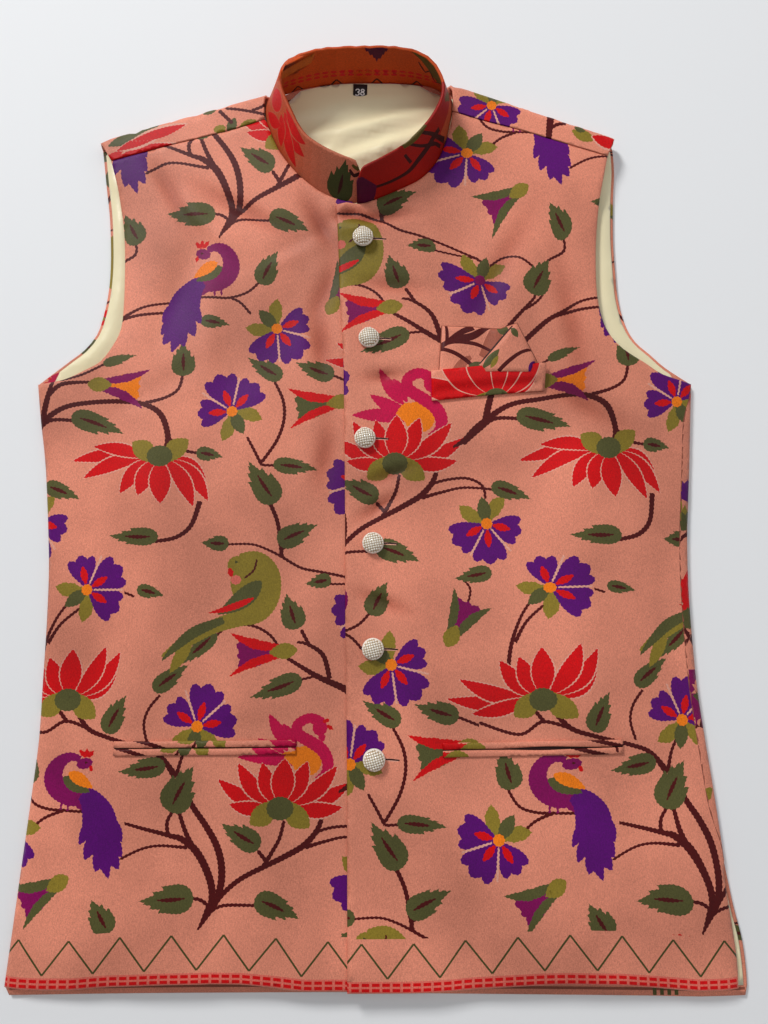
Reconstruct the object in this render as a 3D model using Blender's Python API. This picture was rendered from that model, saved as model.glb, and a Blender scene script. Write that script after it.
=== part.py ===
"""A sleeveless jacket with a stand collar, lying on its back: cloth walls, lining, buttons and pockets.

The tables give millimetres on the table top, x to the right of someone looking at the front and
y toward the collar. The last lines move the whole jacket so that its box is centred on the origin.
"""

import math

import bmesh
import bpy
from mathutils import Vector
from mathutils.geometry import delaunay_2d_cdt

MM = 0.001
SEAM_GAP = 0.3
BACK_CLOTH = 2.0
LINING_CLOTH = 1.0
FRONT_CLOTH = 2.0
COLLAR_CLOTH = 2.4
LAPPED_LIFT = FRONT_CLOTH + 0.35
UNDERLAP = 38.0
SIDE_EDGE_TOP = BACK_CLOTH + SEAM_GAP + FRONT_CLOTH
VENT_LIFT = 2.0
SHOULDER_TOP = 13.0
ROLL = SHOULDER_TOP / 2
TRIM_GAP = 0.4
NECK_GAP = 0.6
JET_CLOTH = 1.2
WELT_CLOTH = 1.6
SQUARE_CLOTH = 1.2

# Outline of the back and of the fronts: side seams from the hem up, then the armhole edges.
LEFT_SIDE = (
    (-255.7, -355.2), (-253.0, -324.3), (-249.1, -278.3), (-245.1, -231.1), (-242.0, -189.8),
    (-241.7, -147.6), (-241.5, -104.5), (-242.7, -60.5), (-249.1, 7.4), (-255.3, 46.1), (-259.2, 74.6),
)
RIGHT_SIDE = (
    (246.0, -271.6), (242.1, -231.1), (237.4, -189.8), (233.3, -147.6), (231.4, -90.0),
    (232.4, -45.6), (236.8, 7.4), (242.0, 75.0),
)
BACK_LEFT_ARMHOLE = (
    (-259.2, 74.6), (-234.9, 94.6), (-225.3, 102.6), (-216.6, 114.7), (-212.0, 131.0),
    (-209.1, 151.5), (-208.8, 176.4), (-211.2, 210.0), (-214.9, 235.6), (-218.9, 264.0),
)
BACK_RIGHT_ARMHOLE = (
    (242.0, 75.0), (223.2, 88.1), (212.1, 98.6), (201.0, 109.1), (193.8, 122.9),
    (189.2, 143.3), (187.9, 168.1), (187.4, 193.2), (188.8, 227.1), (190.6, 250.0), (190.2, 267.5),
)
FRONT_LEFT_ARMHOLE = (
    (-259.2, 74.2), (-239.0, 76.9), (-220.5, 84.8), (-209.4, 91.1), (-200.9, 103.0), (-195.4, 116.9),
    (-194.2, 139.0), (-195.0, 171.5), (-196.9, 196.3), (-200.3, 217.1), (-203.4, 233.9), (-209.0, 254.3),
)
FRONT_RIGHT_ARMHOLE = (
    (242.0, 74.6), (219.4, 81.2), (206.3, 89.5), (193.5, 97.4), (184.6, 105.0), (176.7, 116.9),
    (172.1, 134.9), (170.6, 155.2), (171.8, 188.0), (175.5, 221.3), (180.4, 246.9), (183.0, 258.5),
)
# Vent at the right of the hem: the back edge and, further in, the front edge.
BACK_VENT = (
    (246.0, -271.6), (251.0, -302.4), (255.3, -322.1), (257.0, -338.4), (257.3, -354.6), (255.8, -361.0),
)
FRONT_VENT = (
    (250.0, -355.2), (249.8, -336.8), (248.2, -317.4), (246.0, -297.8), (244.6, -282.0), (246.0, -271.6),
)
BACK_HEM = (
    (-252.6, -361.0), (-155.3, -359.7), (-20.6, -359.1), (17.4, -359.7), (86.4, -360.3),
    (189.9, -361.3), (224.4, -361.9), (255.8, -361.0),
)
# Hems of the two fronts, which rise a little where the cloth lifts.
RIGHT_FRONT_HEM = (
    (-255.7, -355.2), (-228.9, -355.8), (-208.4, -355.2), (-181.2, -352.6), (-147.1, -350.7),
    (-119.7, -350.1), (-92.3, -350.3), (-70.6, -352.6), (-48.0, -355.2), (19.3, -355.4),
)
LEFT_FRONT_HEM = (
    (-18.7, -355.8), (17.2, -355.8), (51.4, -355.2), (85.7, -352.6), (113.1, -350.7), (133.7, -350.1),
    (167.9, -350.7), (195.1, -353.3), (222.4, -355.8), (250.0, -355.2),
)
PLACKET_EDGE = (
    (-30.9, 216.2), (-29.3, 187.0), (-27.4, 138.1), (-24.8, 98.3), (-23.8, 59.2), (-22.5, -16.9),
    (-21.9, -90.2), (-20.7, -160.9), (-19.6, -229.2), (-19.1, -295.1), (-18.7, -355.8),
)
LAPPED_CORNER = ((-14.6, 216.9), (-23.0, 218.2), (-30.9, 216.2))
# Shoulder folds, armhole end first for the left and neck end first for the right, and the seams in front.
LEFT_FOLD = ((-219.8, 273.0), (-87.2, 314.0))
RIGHT_FOLD = ((58.0, 323.7), (190.2, 275.6))
LEFT_SHOULDER_SEAM = (
    (-209.0, 254.3), (-194.0, 258.7), (-166.8, 266.8), (-139.3, 274.1), (-107.9, 283.2), (-88.7, 290.3),
)
RIGHT_SHOULDER_SEAM = (
    (60.7, 297.3), (82.5, 289.8), (114.1, 280.9), (145.5, 270.7), (183.0, 258.5),
)
# The collar, outer face, from the end that goes under to the end that laps over. foot_z None: the
# foot stands on the front there. The share is how much of the full height stands at that place.
COLLAR = (
    # foot_x, foot_y, foot_z, top_x, top_y, top_z, share
    (-9.4, 221.9, None, -9.8, 237.0, 36.0, 0.62),
    (-13.0, 221.1, None, -13.0, 238.2, 36.6, 0.93),
    (-19.0, 220.8, None, -19.0, 240.2, 37.0, 1.0),
    (-28.1, 222.2, None, -27.2, 243.4, 37.0, 1.0),
    (-43.8, 229.4, None, -41.5, 250.8, 37.0, 1.0),
    (-59.7, 242.6, None, -53.5, 259.5, 37.0, 1.0),
    (-71.8, 257.0, None, -60.5, 269.5, 37.0, 1.0),
    (-79.9, 271.6, None, -65.6, 280.4, 37.0, 1.0),
    (-87.0, 290.5, None, -71.5, 294.0, 37.0, 1.0),
    (-88.0, 302.0, 10.8, -74.2, 303.0, 36.8, 1.0),
    (-85.0, 311.5, 8.4, -74.3, 312.5, 36.3, 1.0),
    (-77.0, 318.8, 5.0, -70.5, 321.5, 35.8, 1.0),
    (-62.0, 324.6, 2.9, -59.5, 329.0, 35.2, 1.0),
    (-45.7, 328.4, 2.3, -44.5, 333.8, 35.0, 1.0),
    (-29.5, 330.4, 2.3, -29.0, 335.5, 35.0, 1.0),
    (-13.2, 330.9, 2.3, -13.0, 336.0, 35.0, 1.0),
    (3.0, 330.9, 2.3, 3.2, 336.3, 35.0, 1.0),
    (19.3, 330.6, 2.3, 19.0, 335.2, 35.0, 1.0),
    (35.5, 329.0, 2.4, 34.0, 331.0, 35.2, 1.0),
    (47.0, 325.9, 4.4, 43.5, 323.5, 35.8, 1.0),
    (55.5, 319.5, 7.6, 49.5, 314.0, 36.3, 1.0),
    (60.0, 309.0, 10.4, 52.5, 304.5, 36.8, 1.0),
    (60.2, 297.5, None, 52.5, 295.5, 37.4, 1.0),
    (58.7, 287.5, None, 50.0, 286.0, 37.8, 1.0),
    (54.6, 271.6, None, 42.5, 272.5, 38.0, 1.0),
    (47.6, 254.5, None, 32.0, 260.0, 38.2, 1.0),
    (34.6, 239.2, None, 20.5, 249.5, 38.6, 1.0),
    (18.8, 229.8, None, 6.5, 240.5, 39.0, 1.0),
    (1.6, 222.0, None, -4.5, 234.6, 39.0, 1.0),
    (-9.0, 218.2, None, -10.5, 232.4, 39.0, 0.93),
    (-14.6, 217.3, None, -14.6, 231.6, 39.0, 0.62),
)
LAST_BACK_FOOT = 21
# Neck edge of the back under the collar, between the two shoulder folds.
BACK_NECK = (
    (-82.0, 315.9), (-76.0, 317.9), (-62.0, 323.2), (-45.7, 326.9), (-29.5, 329.3), (-13.2, 329.8),
    (3.0, 329.8), (19.3, 329.5), (35.5, 327.9), (46.0, 325.3), (53.0, 322.9),
)
# How far inside the edges of the back its lining ends.
LINING_INSETS = {"side": 12.5, "armhole": 3.5, "shoulder": 1.2, "neck": 1.8, "vent": 2.8, "hem": 7.0}
# Soft folds of the fronts: middle, direction in degrees, half length, half width and depth.
FOLDS = (
    # x, y, turned, length, width, depth
    (-190, -300, 92, 70, 15, 1.0), (-62, -305, 84, 60, 17, 0.8), (62, -300, 95, 80, 16, 0.9),
    (188, -285, 98, 80, 15, 0.9), (131, 28, 36, 60, 15, 0.8), (-203, 0, 66, 70, 16, 1.0),
    (200, 5, 112, 70, 16, 1.0), (-62, 200, 58, 30, 12, 0.7), (112, 212, 122, 42, 13, 0.7),
    (-118, -70, 82, 95, 22, 0.7), (118, -80, 99, 95, 22, 0.6), (-140, 130, 128, 55, 16, 0.7),
)
BUTTONS = ((-9.9, 187.6), (-5.1, 107.0), (-7.8, 29.4), (-1.7, -49.0), (-1.6, -125.1), (-0.7, -201.9))
BUTTON_PROFILE = ((0.0, 0.0), (5.6, 0.0), (7.2, 0.7), (7.5, 1.6), (7.1, 2.6), (6.5, 3.3), (4.9, 4.7),
                  (2.6, 5.6), (0.0, 6.0))
POCKETS = (
    # name, left_x, left_y of the middle line, right_x, right_y
    ("right", -185.6, -194.9, -56.1, -193.6),
    ("left", 47.9, -195.9, 175.8, -193.3),
)
JET_WIDTH = 5.0
CHEST_WELT = ((42.2, 58.6), (84.0, 62.6), (127.1, 66.3), (128.4, 87.3), (84.0, 85.0), (41.7, 81.1))
POCKET_SQUARE = ((46.9, 74.0), (50.0, 117.4), (72.0, 117.2), (94.5, 114.6), (107.5, 119.3), (122.3, 89.6),
                 (117.0, 78.0))
SQUARE_FLAP = ((78.0, 86.0), (103.8, 116.4), (106.9, 117.7), (121.6, 89.4), (116.6, 78.6), (82.0, 78.6))
SIZE_TAB = ((-18.8, 314.6), (-7.5, 314.2), (-7.2, 326.2), (-18.6, 326.6))


def smooth(points, step):
    """Points about one step apart on a soft curve through the given ones, both ends kept."""
    out, last = [tuple(points[0])], len(points) - 1
    for i in range(last):
        around = points[max(i - 1, 0)], points[i], points[i + 1], points[min(i + 2, last)]
        count = max(1, round(math.dist(around[1][:2], around[2][:2]) / step))
        for k in range(1, count + 1):
            t = k / count
            out.append(tuple(
                0.5 * (2 * b + (c - a) * t + (2 * a - 5 * b + 4 * c - d) * t * t
                       + (3 * b - a - 3 * c + d) * t ** 3)
                for a, b, c, d in zip(*around)))
    return out


def ramp(value, low, high):
    """0 below low, 1 above high and a soft step between; low may be the larger one."""
    t = min(max((value - low) / (high - low), 0.0), 1.0)
    return t * t * (3 - 2 * t)


def distance(x, y, line):
    """Distance from a point to a line of points."""
    best = 1e9
    for (ax, ay), (bx, by) in zip(line, line[1:]):
        ux, uy = bx - ax, by - ay
        t = min(max(((x - ax) * ux + (y - ay) * uy) / (ux * ux + uy * uy), 0.0), 1.0)
        best = min(best, math.hypot(x - ax - t * ux, y - ay - t * uy))
    return best


def placket_x(y):
    """Where the edge of the lapping front runs at this height on the jacket."""
    for (ax, ay), (bx, by) in zip(PLACKET_EDGE, PLACKET_EDGE[1:]):
        if y >= by:
            return ax + (bx - ax) * (y - ay) / (by - ay)
    return PLACKET_EDGE[-1][0]


RIGHT_EDGE = ((250.0, -356.0), (248.2, -317.4)) + RIGHT_SIDE


def under_top(x, y):
    """Height of the outer face of the front that goes under: low at the side seams, full at the chest."""
    side = distance(x, y, LEFT_SIDE if x < 0 else RIGHT_EDGE)
    full = 11.2 + 1.8 * ramp(y, -260, 60)
    height = SIDE_EDGE_TOP + 3.2 * (1 - math.exp(-side / 6)) + (full - 7.5) * ramp(side, 0, 90)
    if x > 0:
        height += VENT_LIFT * (1 - ramp(y, -300, -265)) * math.exp(-side / 40)
    armhole = distance(x, y, FRONT_LEFT_ARMHOLE if x < 0 else FRONT_RIGHT_ARMHOLE)
    height -= 2.5 * math.exp(-armhole / 16) * ramp(y, 88, 130) * ramp(y, 245, 205)
    for lift_x, lift in ((-128, 1.9), (138, 1.9), (30, -0.8), (-215, -0.5)):
        height += lift * math.exp(-(((x - lift_x) / 52) ** 2)) * ramp(y, -230, -352) * ramp(side, 0, 40)
    for fold_x, fold_y, turned, length, width, depth in FOLDS:
        cos, sin = math.cos(math.radians(turned)), math.sin(math.radians(turned))
        dx, dy = x - fold_x, y - fold_y
        along, across = dx * cos + dy * sin, dy * cos - dx * sin
        height -= depth * math.exp(-((along / length) ** 2) - (across / width) ** 2) * ramp(side, 4, 34)
    return height


def lapped_top(x, y):
    """Height of the outer face of the front that laps over."""
    return under_top(x, y) + LAPPED_LIFT * ramp(x - placket_x(y), 86, 44)


def front_top(x, y):
    return lapped_top(x, y) if x > placket_x(y) else under_top(x, y)


def inside(x, y, outline):
    odd = False
    for (ax, ay), (bx, by) in zip(outline, outline[1:] + outline[:1]):
        if (ay > y) != (by > y) and x < ax + (bx - ax) * (y - ay) / (by - ay):
            odd = not odd
    return odd


def filled(outline, spacing, more=()):
    """Triangles of a flat outline with points inside it, as (points, faces)."""
    ring = outline + outline[:1]
    xs, ys = [p[0] for p in outline], [p[1] for p in outline]
    grid, row, y = list(more), 0, min(ys) + 0.5 * spacing
    while y < max(ys):
        x = min(xs) + (0.25 + 0.5 * (row % 2)) * spacing
        while x < max(xs):
            clear = inside(x, y, outline) and distance(x, y, ring) > 0.55 * spacing
            if clear and all(math.dist((x, y), p) > 0.7 * spacing for p in more):
                grid.append((x, y))
            x += spacing
        y += 0.866 * spacing
        row += 1
    count = len(outline)
    edges = [(i, (i + 1) % count) for i in range(count)]
    flat = [Vector(p[:2]) for p in outline + grid]
    points, _, faces, *_ = delaunay_2d_cdt(flat, edges, [list(range(count))], 1, 1e-5)
    return [tuple(p) for p in points], [tuple(f) for f in faces]


def material(name, colour, roughness, sheen=0.0):
    made = bpy.data.materials.new(name)
    made.use_nodes = True
    shader = made.node_tree.nodes["Principled BSDF"]
    shader.inputs["Base Color"].default_value = (*colour, 1.0)
    shader.inputs["Roughness"].default_value = roughness
    shader.inputs["Sheen Weight"].default_value = sheen
    return made


def add(name, points, faces, stuff):
    """One named object from points in millimetres."""
    shape = bmesh.new()
    verts = [shape.verts.new([c * MM for c in p]) for p in points]
    for face in faces:
        shape.faces.new([verts[i] for i in face])
    mesh = bpy.data.meshes.new(name)
    shape.to_mesh(mesh)
    shape.free()
    mesh.materials.append(stuff)
    made = bpy.data.objects.new(name, mesh)
    bpy.context.scene.collection.objects.link(made)
    return made


def cloth(name, points, faces, thickness, stuff):
    """A closed wall of cloth behind an open face whose normals look out."""
    made = add(name, points, faces, stuff)
    wall = made.modifiers.new("wall", "SOLIDIFY")
    wall.thickness, wall.offset = thickness * MM, -1
    wall.use_even_offset = True
    return made


def laid(name, outline, top, thickness, spacing, stuff, more=()):
    """Cloth that lies at the height top(x, y)."""
    points, faces = filled(outline, spacing, more)
    return cloth(name, [(x, y, top(x, y)) for x, y in points], faces, thickness, stuff)


for old in list(bpy.data.objects):
    bpy.data.objects.remove(old)

brocade = material("brocade", (0.62, 0.25, 0.17), 0.5, 0.3)
lining = material("lining_satin", (0.78, 0.68, 0.45), 0.35)
collar_cloth = material("collar_brocade", (0.42, 0.07, 0.02), 0.5, 0.3)
button_face = material("button_ivory", (0.82, 0.74, 0.6), 0.3)
tab_cloth = material("tab_weave", (0.01, 0.01, 0.012), 0.6)


# The back lies flat. Beyond each roll line it turns up and over the shoulder, round a half circle,
# and ends at the shoulder seam on the front. Its outline is drawn unrolled.
def shoulder(fold, neck_full, neck_none):
    (ax, ay), (bx, by) = fold
    length = math.hypot(bx - ax, by - ay)
    along = ((bx - ax) / length, (by - ay) / length)
    out = (-along[1], along[0])
    return {"start": (ax - ROLL * out[0], ay - ROLL * out[1]), "along": along, "out": out,
            "length": length, "full": neck_full, "none": neck_none}


LEFT = shoulder(LEFT_FOLD, 139.0, 155.0)
RIGHT = shoulder(RIGHT_FOLD, 0.0, -16.0)


def local(side, x, y):
    dx, dy = x - side["start"][0], y - side["start"][1]
    return (dx * side["along"][0] + dy * side["along"][1], dx * side["out"][0] + dy * side["out"][1])


def unrolled(side, a, d):
    return tuple(side["start"][k] + a * side["along"][k] + d * side["out"][k] for k in (0, 1))


def over_top(side, x, y):
    """Unrolled place of a point that lies on the front side of the shoulder."""
    a, p = local(side, x, y)
    bend = ROLL * math.asin(min(p / ROLL, 1.0)) if p > 0 else p
    return unrolled(side, a, math.pi * ROLL - bend)


def back_place(x, y):
    """Where a point of the unrolled back ends up."""
    side = LEFT if x < -20 else RIGHT
    a, d = local(side, x, y)
    share = ramp(a, side["none"], side["full"])
    if d <= 0 or share == 0:
        return (x, y, 0.0)
    turn = min(d / ROLL, math.pi)
    p = ROLL * math.sin(turn) - max(d - math.pi * ROLL, 0.0)
    z = ROLL * (1 - math.cos(turn))
    rx, ry = unrolled(side, a, p)
    return (x + share * (rx - x), y + share * (ry - y), share * z)


def seam_part(side, seam):
    return [over_top(side, x, y + 0.2) for x, y in smooth(seam, 11)]


HALF = math.pi * ROLL / 2
left_flap = (
    [unrolled(LEFT, -1.0, 0.35 * HALF), unrolled(LEFT, -0.4, HALF), unrolled(LEFT, 1.2, 1.8 * HALF)]
    + seam_part(LEFT, LEFT_SHOULDER_SEAM)
    + [over_top(LEFT, -89.2, 302.0), over_top(LEFT, -89.0, 309.0), unrolled(LEFT, 138.2, HALF)]
)
right_flap = (
    [unrolled(RIGHT, 1.6, HALF), over_top(RIGHT, 61.2, 316.0), over_top(RIGHT, 61.4, 307.0)]
    + seam_part(RIGHT, RIGHT_SHOULDER_SEAM)
    + [unrolled(RIGHT, 140.2, 1.8 * HALF), unrolled(RIGHT, 140.9, HALF), unrolled(RIGHT, 141.2, 0.35 * HALF)]
)
back_outline = (
    smooth(LEFT_SIDE, 24)[:-1] + smooth(BACK_LEFT_ARMHOLE, 8) + left_flap + smooth(BACK_NECK, 8)
    + right_flap + smooth(BACK_RIGHT_ARMHOLE[::-1], 8)[:-1] + smooth(RIGHT_SIDE[::-1], 24)[:-1]
    + smooth(BACK_VENT, 9) + smooth(BACK_HEM[::-1], 40)[1:]
)
roll_rows = []
for side, first, last in ((LEFT, 4.0, 150.0), (RIGHT, -11.0, 137.0)):
    for step in range(0, 9):
        depth = step * math.pi * ROLL / 7
        roll_rows += [unrolled(side, first + k * (last - first) / 13, depth) for k in range(14)]
back_ring = back_outline + back_outline[:1]
roll_rows = [p for p in roll_rows if inside(*p, back_outline) and distance(*p, back_ring) > 1.4]
points, faces = filled(back_outline, 34.0, roll_rows)
cloth("back", [back_place(x, y) for x, y in points], [f[::-1] for f in faces], BACK_CLOTH, brocade)

# The lining lies in the back and shows in the neck, at both armholes and in the vent.
def moved_in(line, by):
    """The line moved to its right, where the inside of the back is."""
    out = []
    for i, (x, y) in enumerate(line):
        (ax, ay), (bx, by_) = line[max(i - 1, 0)], line[min(i + 1, len(line) - 1)]
        length = math.hypot(bx - ax, by_ - ay)
        out.append((x + by * (by_ - ay) / length, y - by * (bx - ax) / length))
    return out


def lining_outline():
    """The edges of the back moved in; a point that comes too near another edge is left out."""
    rolls = {side_name: [unrolled(side, a, 0.0) for a in range(first, last, 15)]
             for side_name, side, first, last in (("left", LEFT, 2, 153), ("right", RIGHT, -13, 141))}
    edges = (
        ("side", smooth(LEFT_SIDE, 24)), ("armhole", smooth(BACK_LEFT_ARMHOLE, 8)), ("shoulder", rolls["left"]),
        ("neck", smooth(BACK_NECK, 8)), ("shoulder", rolls["right"]),
        ("armhole", smooth(BACK_RIGHT_ARMHOLE[::-1], 8)), ("side", smooth(RIGHT_SIDE[::-1], 24)),
        ("vent", smooth(BACK_VENT, 9)), ("hem", smooth(BACK_HEM[::-1], 40)),
    )
    kept = []
    for kind, line in edges:
        for x, y in moved_in(line, LINING_INSETS[kind]):
            clear = all(distance(x, y, other) > LINING_INSETS[of] - 0.4 for of, other in edges)
            low_corner = kind == "neck" and not -68 < x < 42
            if clear and not low_corner:
                kept.append((x, y))
    return kept


LINING_TOP = BACK_CLOTH + SEAM_GAP + LINING_CLOTH
laid("back_lining", lining_outline(), lambda x, y: LINING_TOP, LINING_CLOTH, 60.0, lining)


# The collar stands on the neck edges of the fronts and of the back, and its ends lap.
SHOULDER_SEAM_Y = 296.0
COLLAR_SUNK = 1.6
COLLAR_SWELL = 0.8
SWELL_BELOW_Y = 260.0


def collar_foot(row):
    """The row with its foot height filled in where it stands on a front."""
    number, (x, y, z, *rest) = row
    if z is None:
        top = lapped_top if number > LAST_BACK_FOOT else under_top
        z = top(x, min(y, SHOULDER_SEAM_Y)) - COLLAR_SUNK
    return (x, y, z, *rest)


collar_rows = smooth([collar_foot(row) for row in enumerate(COLLAR)], 7.0)
COLLAR_LEVELS = 4
points, faces = [], []
for x, y, z, top_x, top_y, top_z, share in collar_rows:
    share = min(share, 1.0)
    for level in range(COLLAR_LEVELS + 1):
        t = share * level / COLLAR_LEVELS
        swell = COLLAR_SWELL * math.sin(math.pi * level / COLLAR_LEVELS) * (y < SWELL_BELOW_Y)
        points.append((x + t * (top_x - x), y + t * (top_y - y) - swell, z + t * (top_z - z)))
for i in range(len(collar_rows) - 1):
    for level in range(COLLAR_LEVELS):
        a, b = i * (COLLAR_LEVELS + 1) + level, (i + 1) * (COLLAR_LEVELS + 1) + level
        faces.append((a, a + 1, b + 1, b))
cloth("collar", points, faces, COLLAR_CLOTH, collar_cloth)


# Neck edges of the fronts keep a seam's gap to the outer face of the collar.
def neck_edge(rows):
    edge = []
    for before, here, after in zip(rows, rows[1:], rows[2:]):
        dx, dy = after[0] - before[0], after[1] - before[1]
        length = math.hypot(dx, dy)
        edge.append((here[0] - NECK_GAP * dy / length, here[1] + NECK_GAP * dx / length))
    return edge


foot = [row[:2] for row in collar_rows]
left_foot = [p for p in foot if p[0] < -17.0 and p[1] < 289.0]
right_foot = [p for p in foot if p[0] > -13.0 and p[1] < 296.0 and p[0] > left_foot[0][0] + 8]
right_foot = right_foot[1:]
under_neck = neck_edge(left_foot)[::-1]
right_outline = (
    smooth(LEFT_SIDE, 15)[:-1] + smooth(FRONT_LEFT_ARMHOLE, 8)[:-1]
    + [(x, y - 0.2) for x, y in smooth(LEFT_SHOULDER_SEAM, 11)] + under_neck
    + [(-15.4, 216.4), (7.5, 214.5)]
    + [(x + UNDERLAP, y) for x, y in smooth(PLACKET_EDGE, 22)[2:-1]]
    + smooth(RIGHT_FRONT_HEM[::-1], 14)[:-1]
)
laid("front_right", right_outline, under_top, FRONT_CLOTH, 15.0, brocade)

lapped_neck = neck_edge(right_foot)
left_outline = (
    smooth(LEFT_FRONT_HEM, 14)[:-1] + smooth(FRONT_VENT, 10)[:-1] + smooth(RIGHT_SIDE, 15)[:-1]
    + smooth(FRONT_RIGHT_ARMHOLE, 8)[:-1]
    + [(x, y - 0.2) for x, y in smooth(RIGHT_SHOULDER_SEAM[::-1], 11)] + lapped_neck
    + list(LAPPED_CORNER)[:-1] + smooth(PLACKET_EDGE, 22)[:-1]
)
laid("front_left", left_outline, lapped_top, FRONT_CLOTH, 15.0, brocade)

# Six domed buttons, turned from one profile, sit on the lapping front.
for number, (x, y) in enumerate(BUTTONS, 1):
    base = max(front_top(x + dx, y + dy) for dx, dy in ((0, 0), (7, 0), (-7, 0), (0, 7), (0, -7))) + TRIM_GAP
    turns, points, faces = 20, [(x, y, base)], []
    for radius, height in BUTTON_PROFILE[1:-1]:
        points += [(x + radius * math.cos(math.tau * k / turns), y + radius * math.sin(math.tau * k / turns),
                    base + height) for k in range(turns)]
    points.append((x, y, base + BUTTON_PROFILE[-1][1]))
    rings = len(BUTTON_PROFILE) - 2
    for k in range(turns):
        after = (k + 1) % turns
        faces.append((0, 1 + after, 1 + k))
        for ring in range(rings - 1):
            low, high = 1 + ring * turns, 1 + (ring + 1) * turns
            faces.append((low + k, low + after, high + after, high + k))
        last = 1 + (rings - 1) * turns
        faces.append((last + k, last + after, len(points) - 1))
    add(f"button_{number}", points, faces, button_face)


# Each lower pocket has two jets that meet at its mouth.
def strip(name, start, end, below, above, thickness, stuff):
    """A narrow strip of cloth on the front, between two offsets from a line."""
    points, faces, count = [], [], 12
    for k in range(count + 1):
        x, y = (start[i] + (end[i] - start[i]) * k / count for i in (0, 1))
        for offset in (below, above):
            points.append((x, y + offset, front_top(x, y + offset) + TRIM_GAP + thickness))
    for k in range(count):
        faces.append((2 * k, 2 * k + 2, 2 * k + 3, 2 * k + 1))
    return cloth(name, points, faces, thickness, stuff)


for name, left_x, left_y, right_x, right_y in POCKETS:
    ends = (left_x, left_y), (right_x, right_y)
    strip(f"jet_{name}_upper", *ends, 0.2, JET_WIDTH, JET_CLOTH, brocade)
    strip(f"jet_{name}_lower", *ends, -JET_WIDTH, -0.2, JET_CLOTH, brocade)


# The folded square goes behind the chest welt, which rises over it.
def square_top(x, y):
    return front_top(x, y) + TRIM_GAP + SQUARE_CLOTH


laid("pocket_square", list(POCKET_SQUARE), square_top, SQUARE_CLOTH, 9.0, brocade)
flap = laid("square_flap", list(SQUARE_FLAP), lambda x, y: square_top(x, y) + SQUARE_CLOTH,
            SQUARE_CLOTH + 0.3, 9.0, brocade)
flap.hide_render = True
flap.hide_viewport = True
join = bpy.data.objects["pocket_square"].modifiers.new("fold", "BOOLEAN")
join.operation, join.object, join.solver = "UNION", flap, "EXACT"


WELT_LOW_SLOPE, WELT_HIGH_SLOPE = 0.0907, 0.0715


def welt_top(x, y):
    low = CHEST_WELT[0][1] + (x - CHEST_WELT[0][0]) * WELT_LOW_SLOPE
    high = CHEST_WELT[-1][1] + (x - CHEST_WELT[-1][0]) * WELT_HIGH_SLOPE
    over = ramp(y, low + 0.25 * (high - low), low + 0.62 * (high - low))
    return front_top(x, y) + TRIM_GAP + WELT_CLOTH + over * (2 * SQUARE_CLOTH + 0.5)


laid("chest_welt", smooth(CHEST_WELT, 9), welt_top, WELT_CLOTH, 7.0, brocade)
laid("size_tab", list(SIZE_TAB), lambda x, y: LINING_TOP + SEAM_GAP + 0.8, 0.8, 20.0, tab_cloth)

# The whole jacket is centred on the origin and rests on its back.
bpy.context.view_layer.update()
graph = bpy.context.evaluated_depsgraph_get()
corners = []
for made in bpy.data.objects:
    if not made.hide_render:
        corners += [Vector(c) for c in made.evaluated_get(graph).bound_box]
low = [min(c[k] for c in corners) for k in range(3)]
high = [max(c[k] for c in corners) for k in range(3)]
shift = Vector((-(low[0] + high[0]) / 2, -(low[1] + high[1]) / 2, -low[2]))
for made in bpy.data.objects:
    for vert in made.data.vertices:
        vert.co += shift
print("moved by", [round(c / MM, 3) for c in shift])
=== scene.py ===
import math

import bmesh
import bpy
import numpy as np
from mathutils import Matrix, Vector
from mathutils.geometry import delaunay_2d_cdt


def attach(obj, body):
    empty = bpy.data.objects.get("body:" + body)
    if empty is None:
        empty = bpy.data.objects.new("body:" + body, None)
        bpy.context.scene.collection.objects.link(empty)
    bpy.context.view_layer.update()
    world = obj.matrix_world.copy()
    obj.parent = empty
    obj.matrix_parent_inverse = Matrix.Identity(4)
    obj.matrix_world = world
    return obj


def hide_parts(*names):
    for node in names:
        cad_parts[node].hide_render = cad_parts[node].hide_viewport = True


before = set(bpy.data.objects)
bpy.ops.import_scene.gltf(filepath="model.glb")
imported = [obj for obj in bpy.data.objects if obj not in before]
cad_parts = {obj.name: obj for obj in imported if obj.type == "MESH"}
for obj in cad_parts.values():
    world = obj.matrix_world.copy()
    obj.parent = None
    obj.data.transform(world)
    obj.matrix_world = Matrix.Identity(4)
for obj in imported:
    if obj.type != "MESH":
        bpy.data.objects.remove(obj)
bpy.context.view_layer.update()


# The view: the jacket lies on a plain pale floor, seen from nearly straight above and a little from the
# hem side. Daylight falls low from a window beyond the collar at the left, with two weak lamps to fill.
MM = 0.001
PICTURE_HEIGHT, FOCAL_PIXELS = 1024, 780
CAMERA_PLACE, CAMERA_TILT = (7.2, -94.2, 582.25), 8.128
FLOOR_DROP = 0.3
camera_data = bpy.data.cameras.new("camera")
camera_data.sensor_fit, camera_data.sensor_height = "VERTICAL", 36.0
camera_data.lens = camera_data.sensor_height * FOCAL_PIXELS / PICTURE_HEIGHT
camera = bpy.data.objects.new("camera", camera_data)
camera.location = Vector(CAMERA_PLACE) * MM
camera.rotation_euler = (math.radians(CAMERA_TILT), 0, 0)
bpy.context.scene.collection.objects.link(camera)
bpy.context.scene.camera = camera
bpy.context.scene.view_settings.view_transform = "Standard"


def tint(colour, alpha=1.0):
    """An sRGB hex colour as linear red, green, blue and alpha."""
    parts = [int(colour[i:i + 2], 16) / 255 for i in (1, 3, 5)]
    return (*(p / 12.92 if p <= 0.04045 else ((p + 0.055) / 1.055) ** 2.4 for p in parts), alpha)


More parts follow.
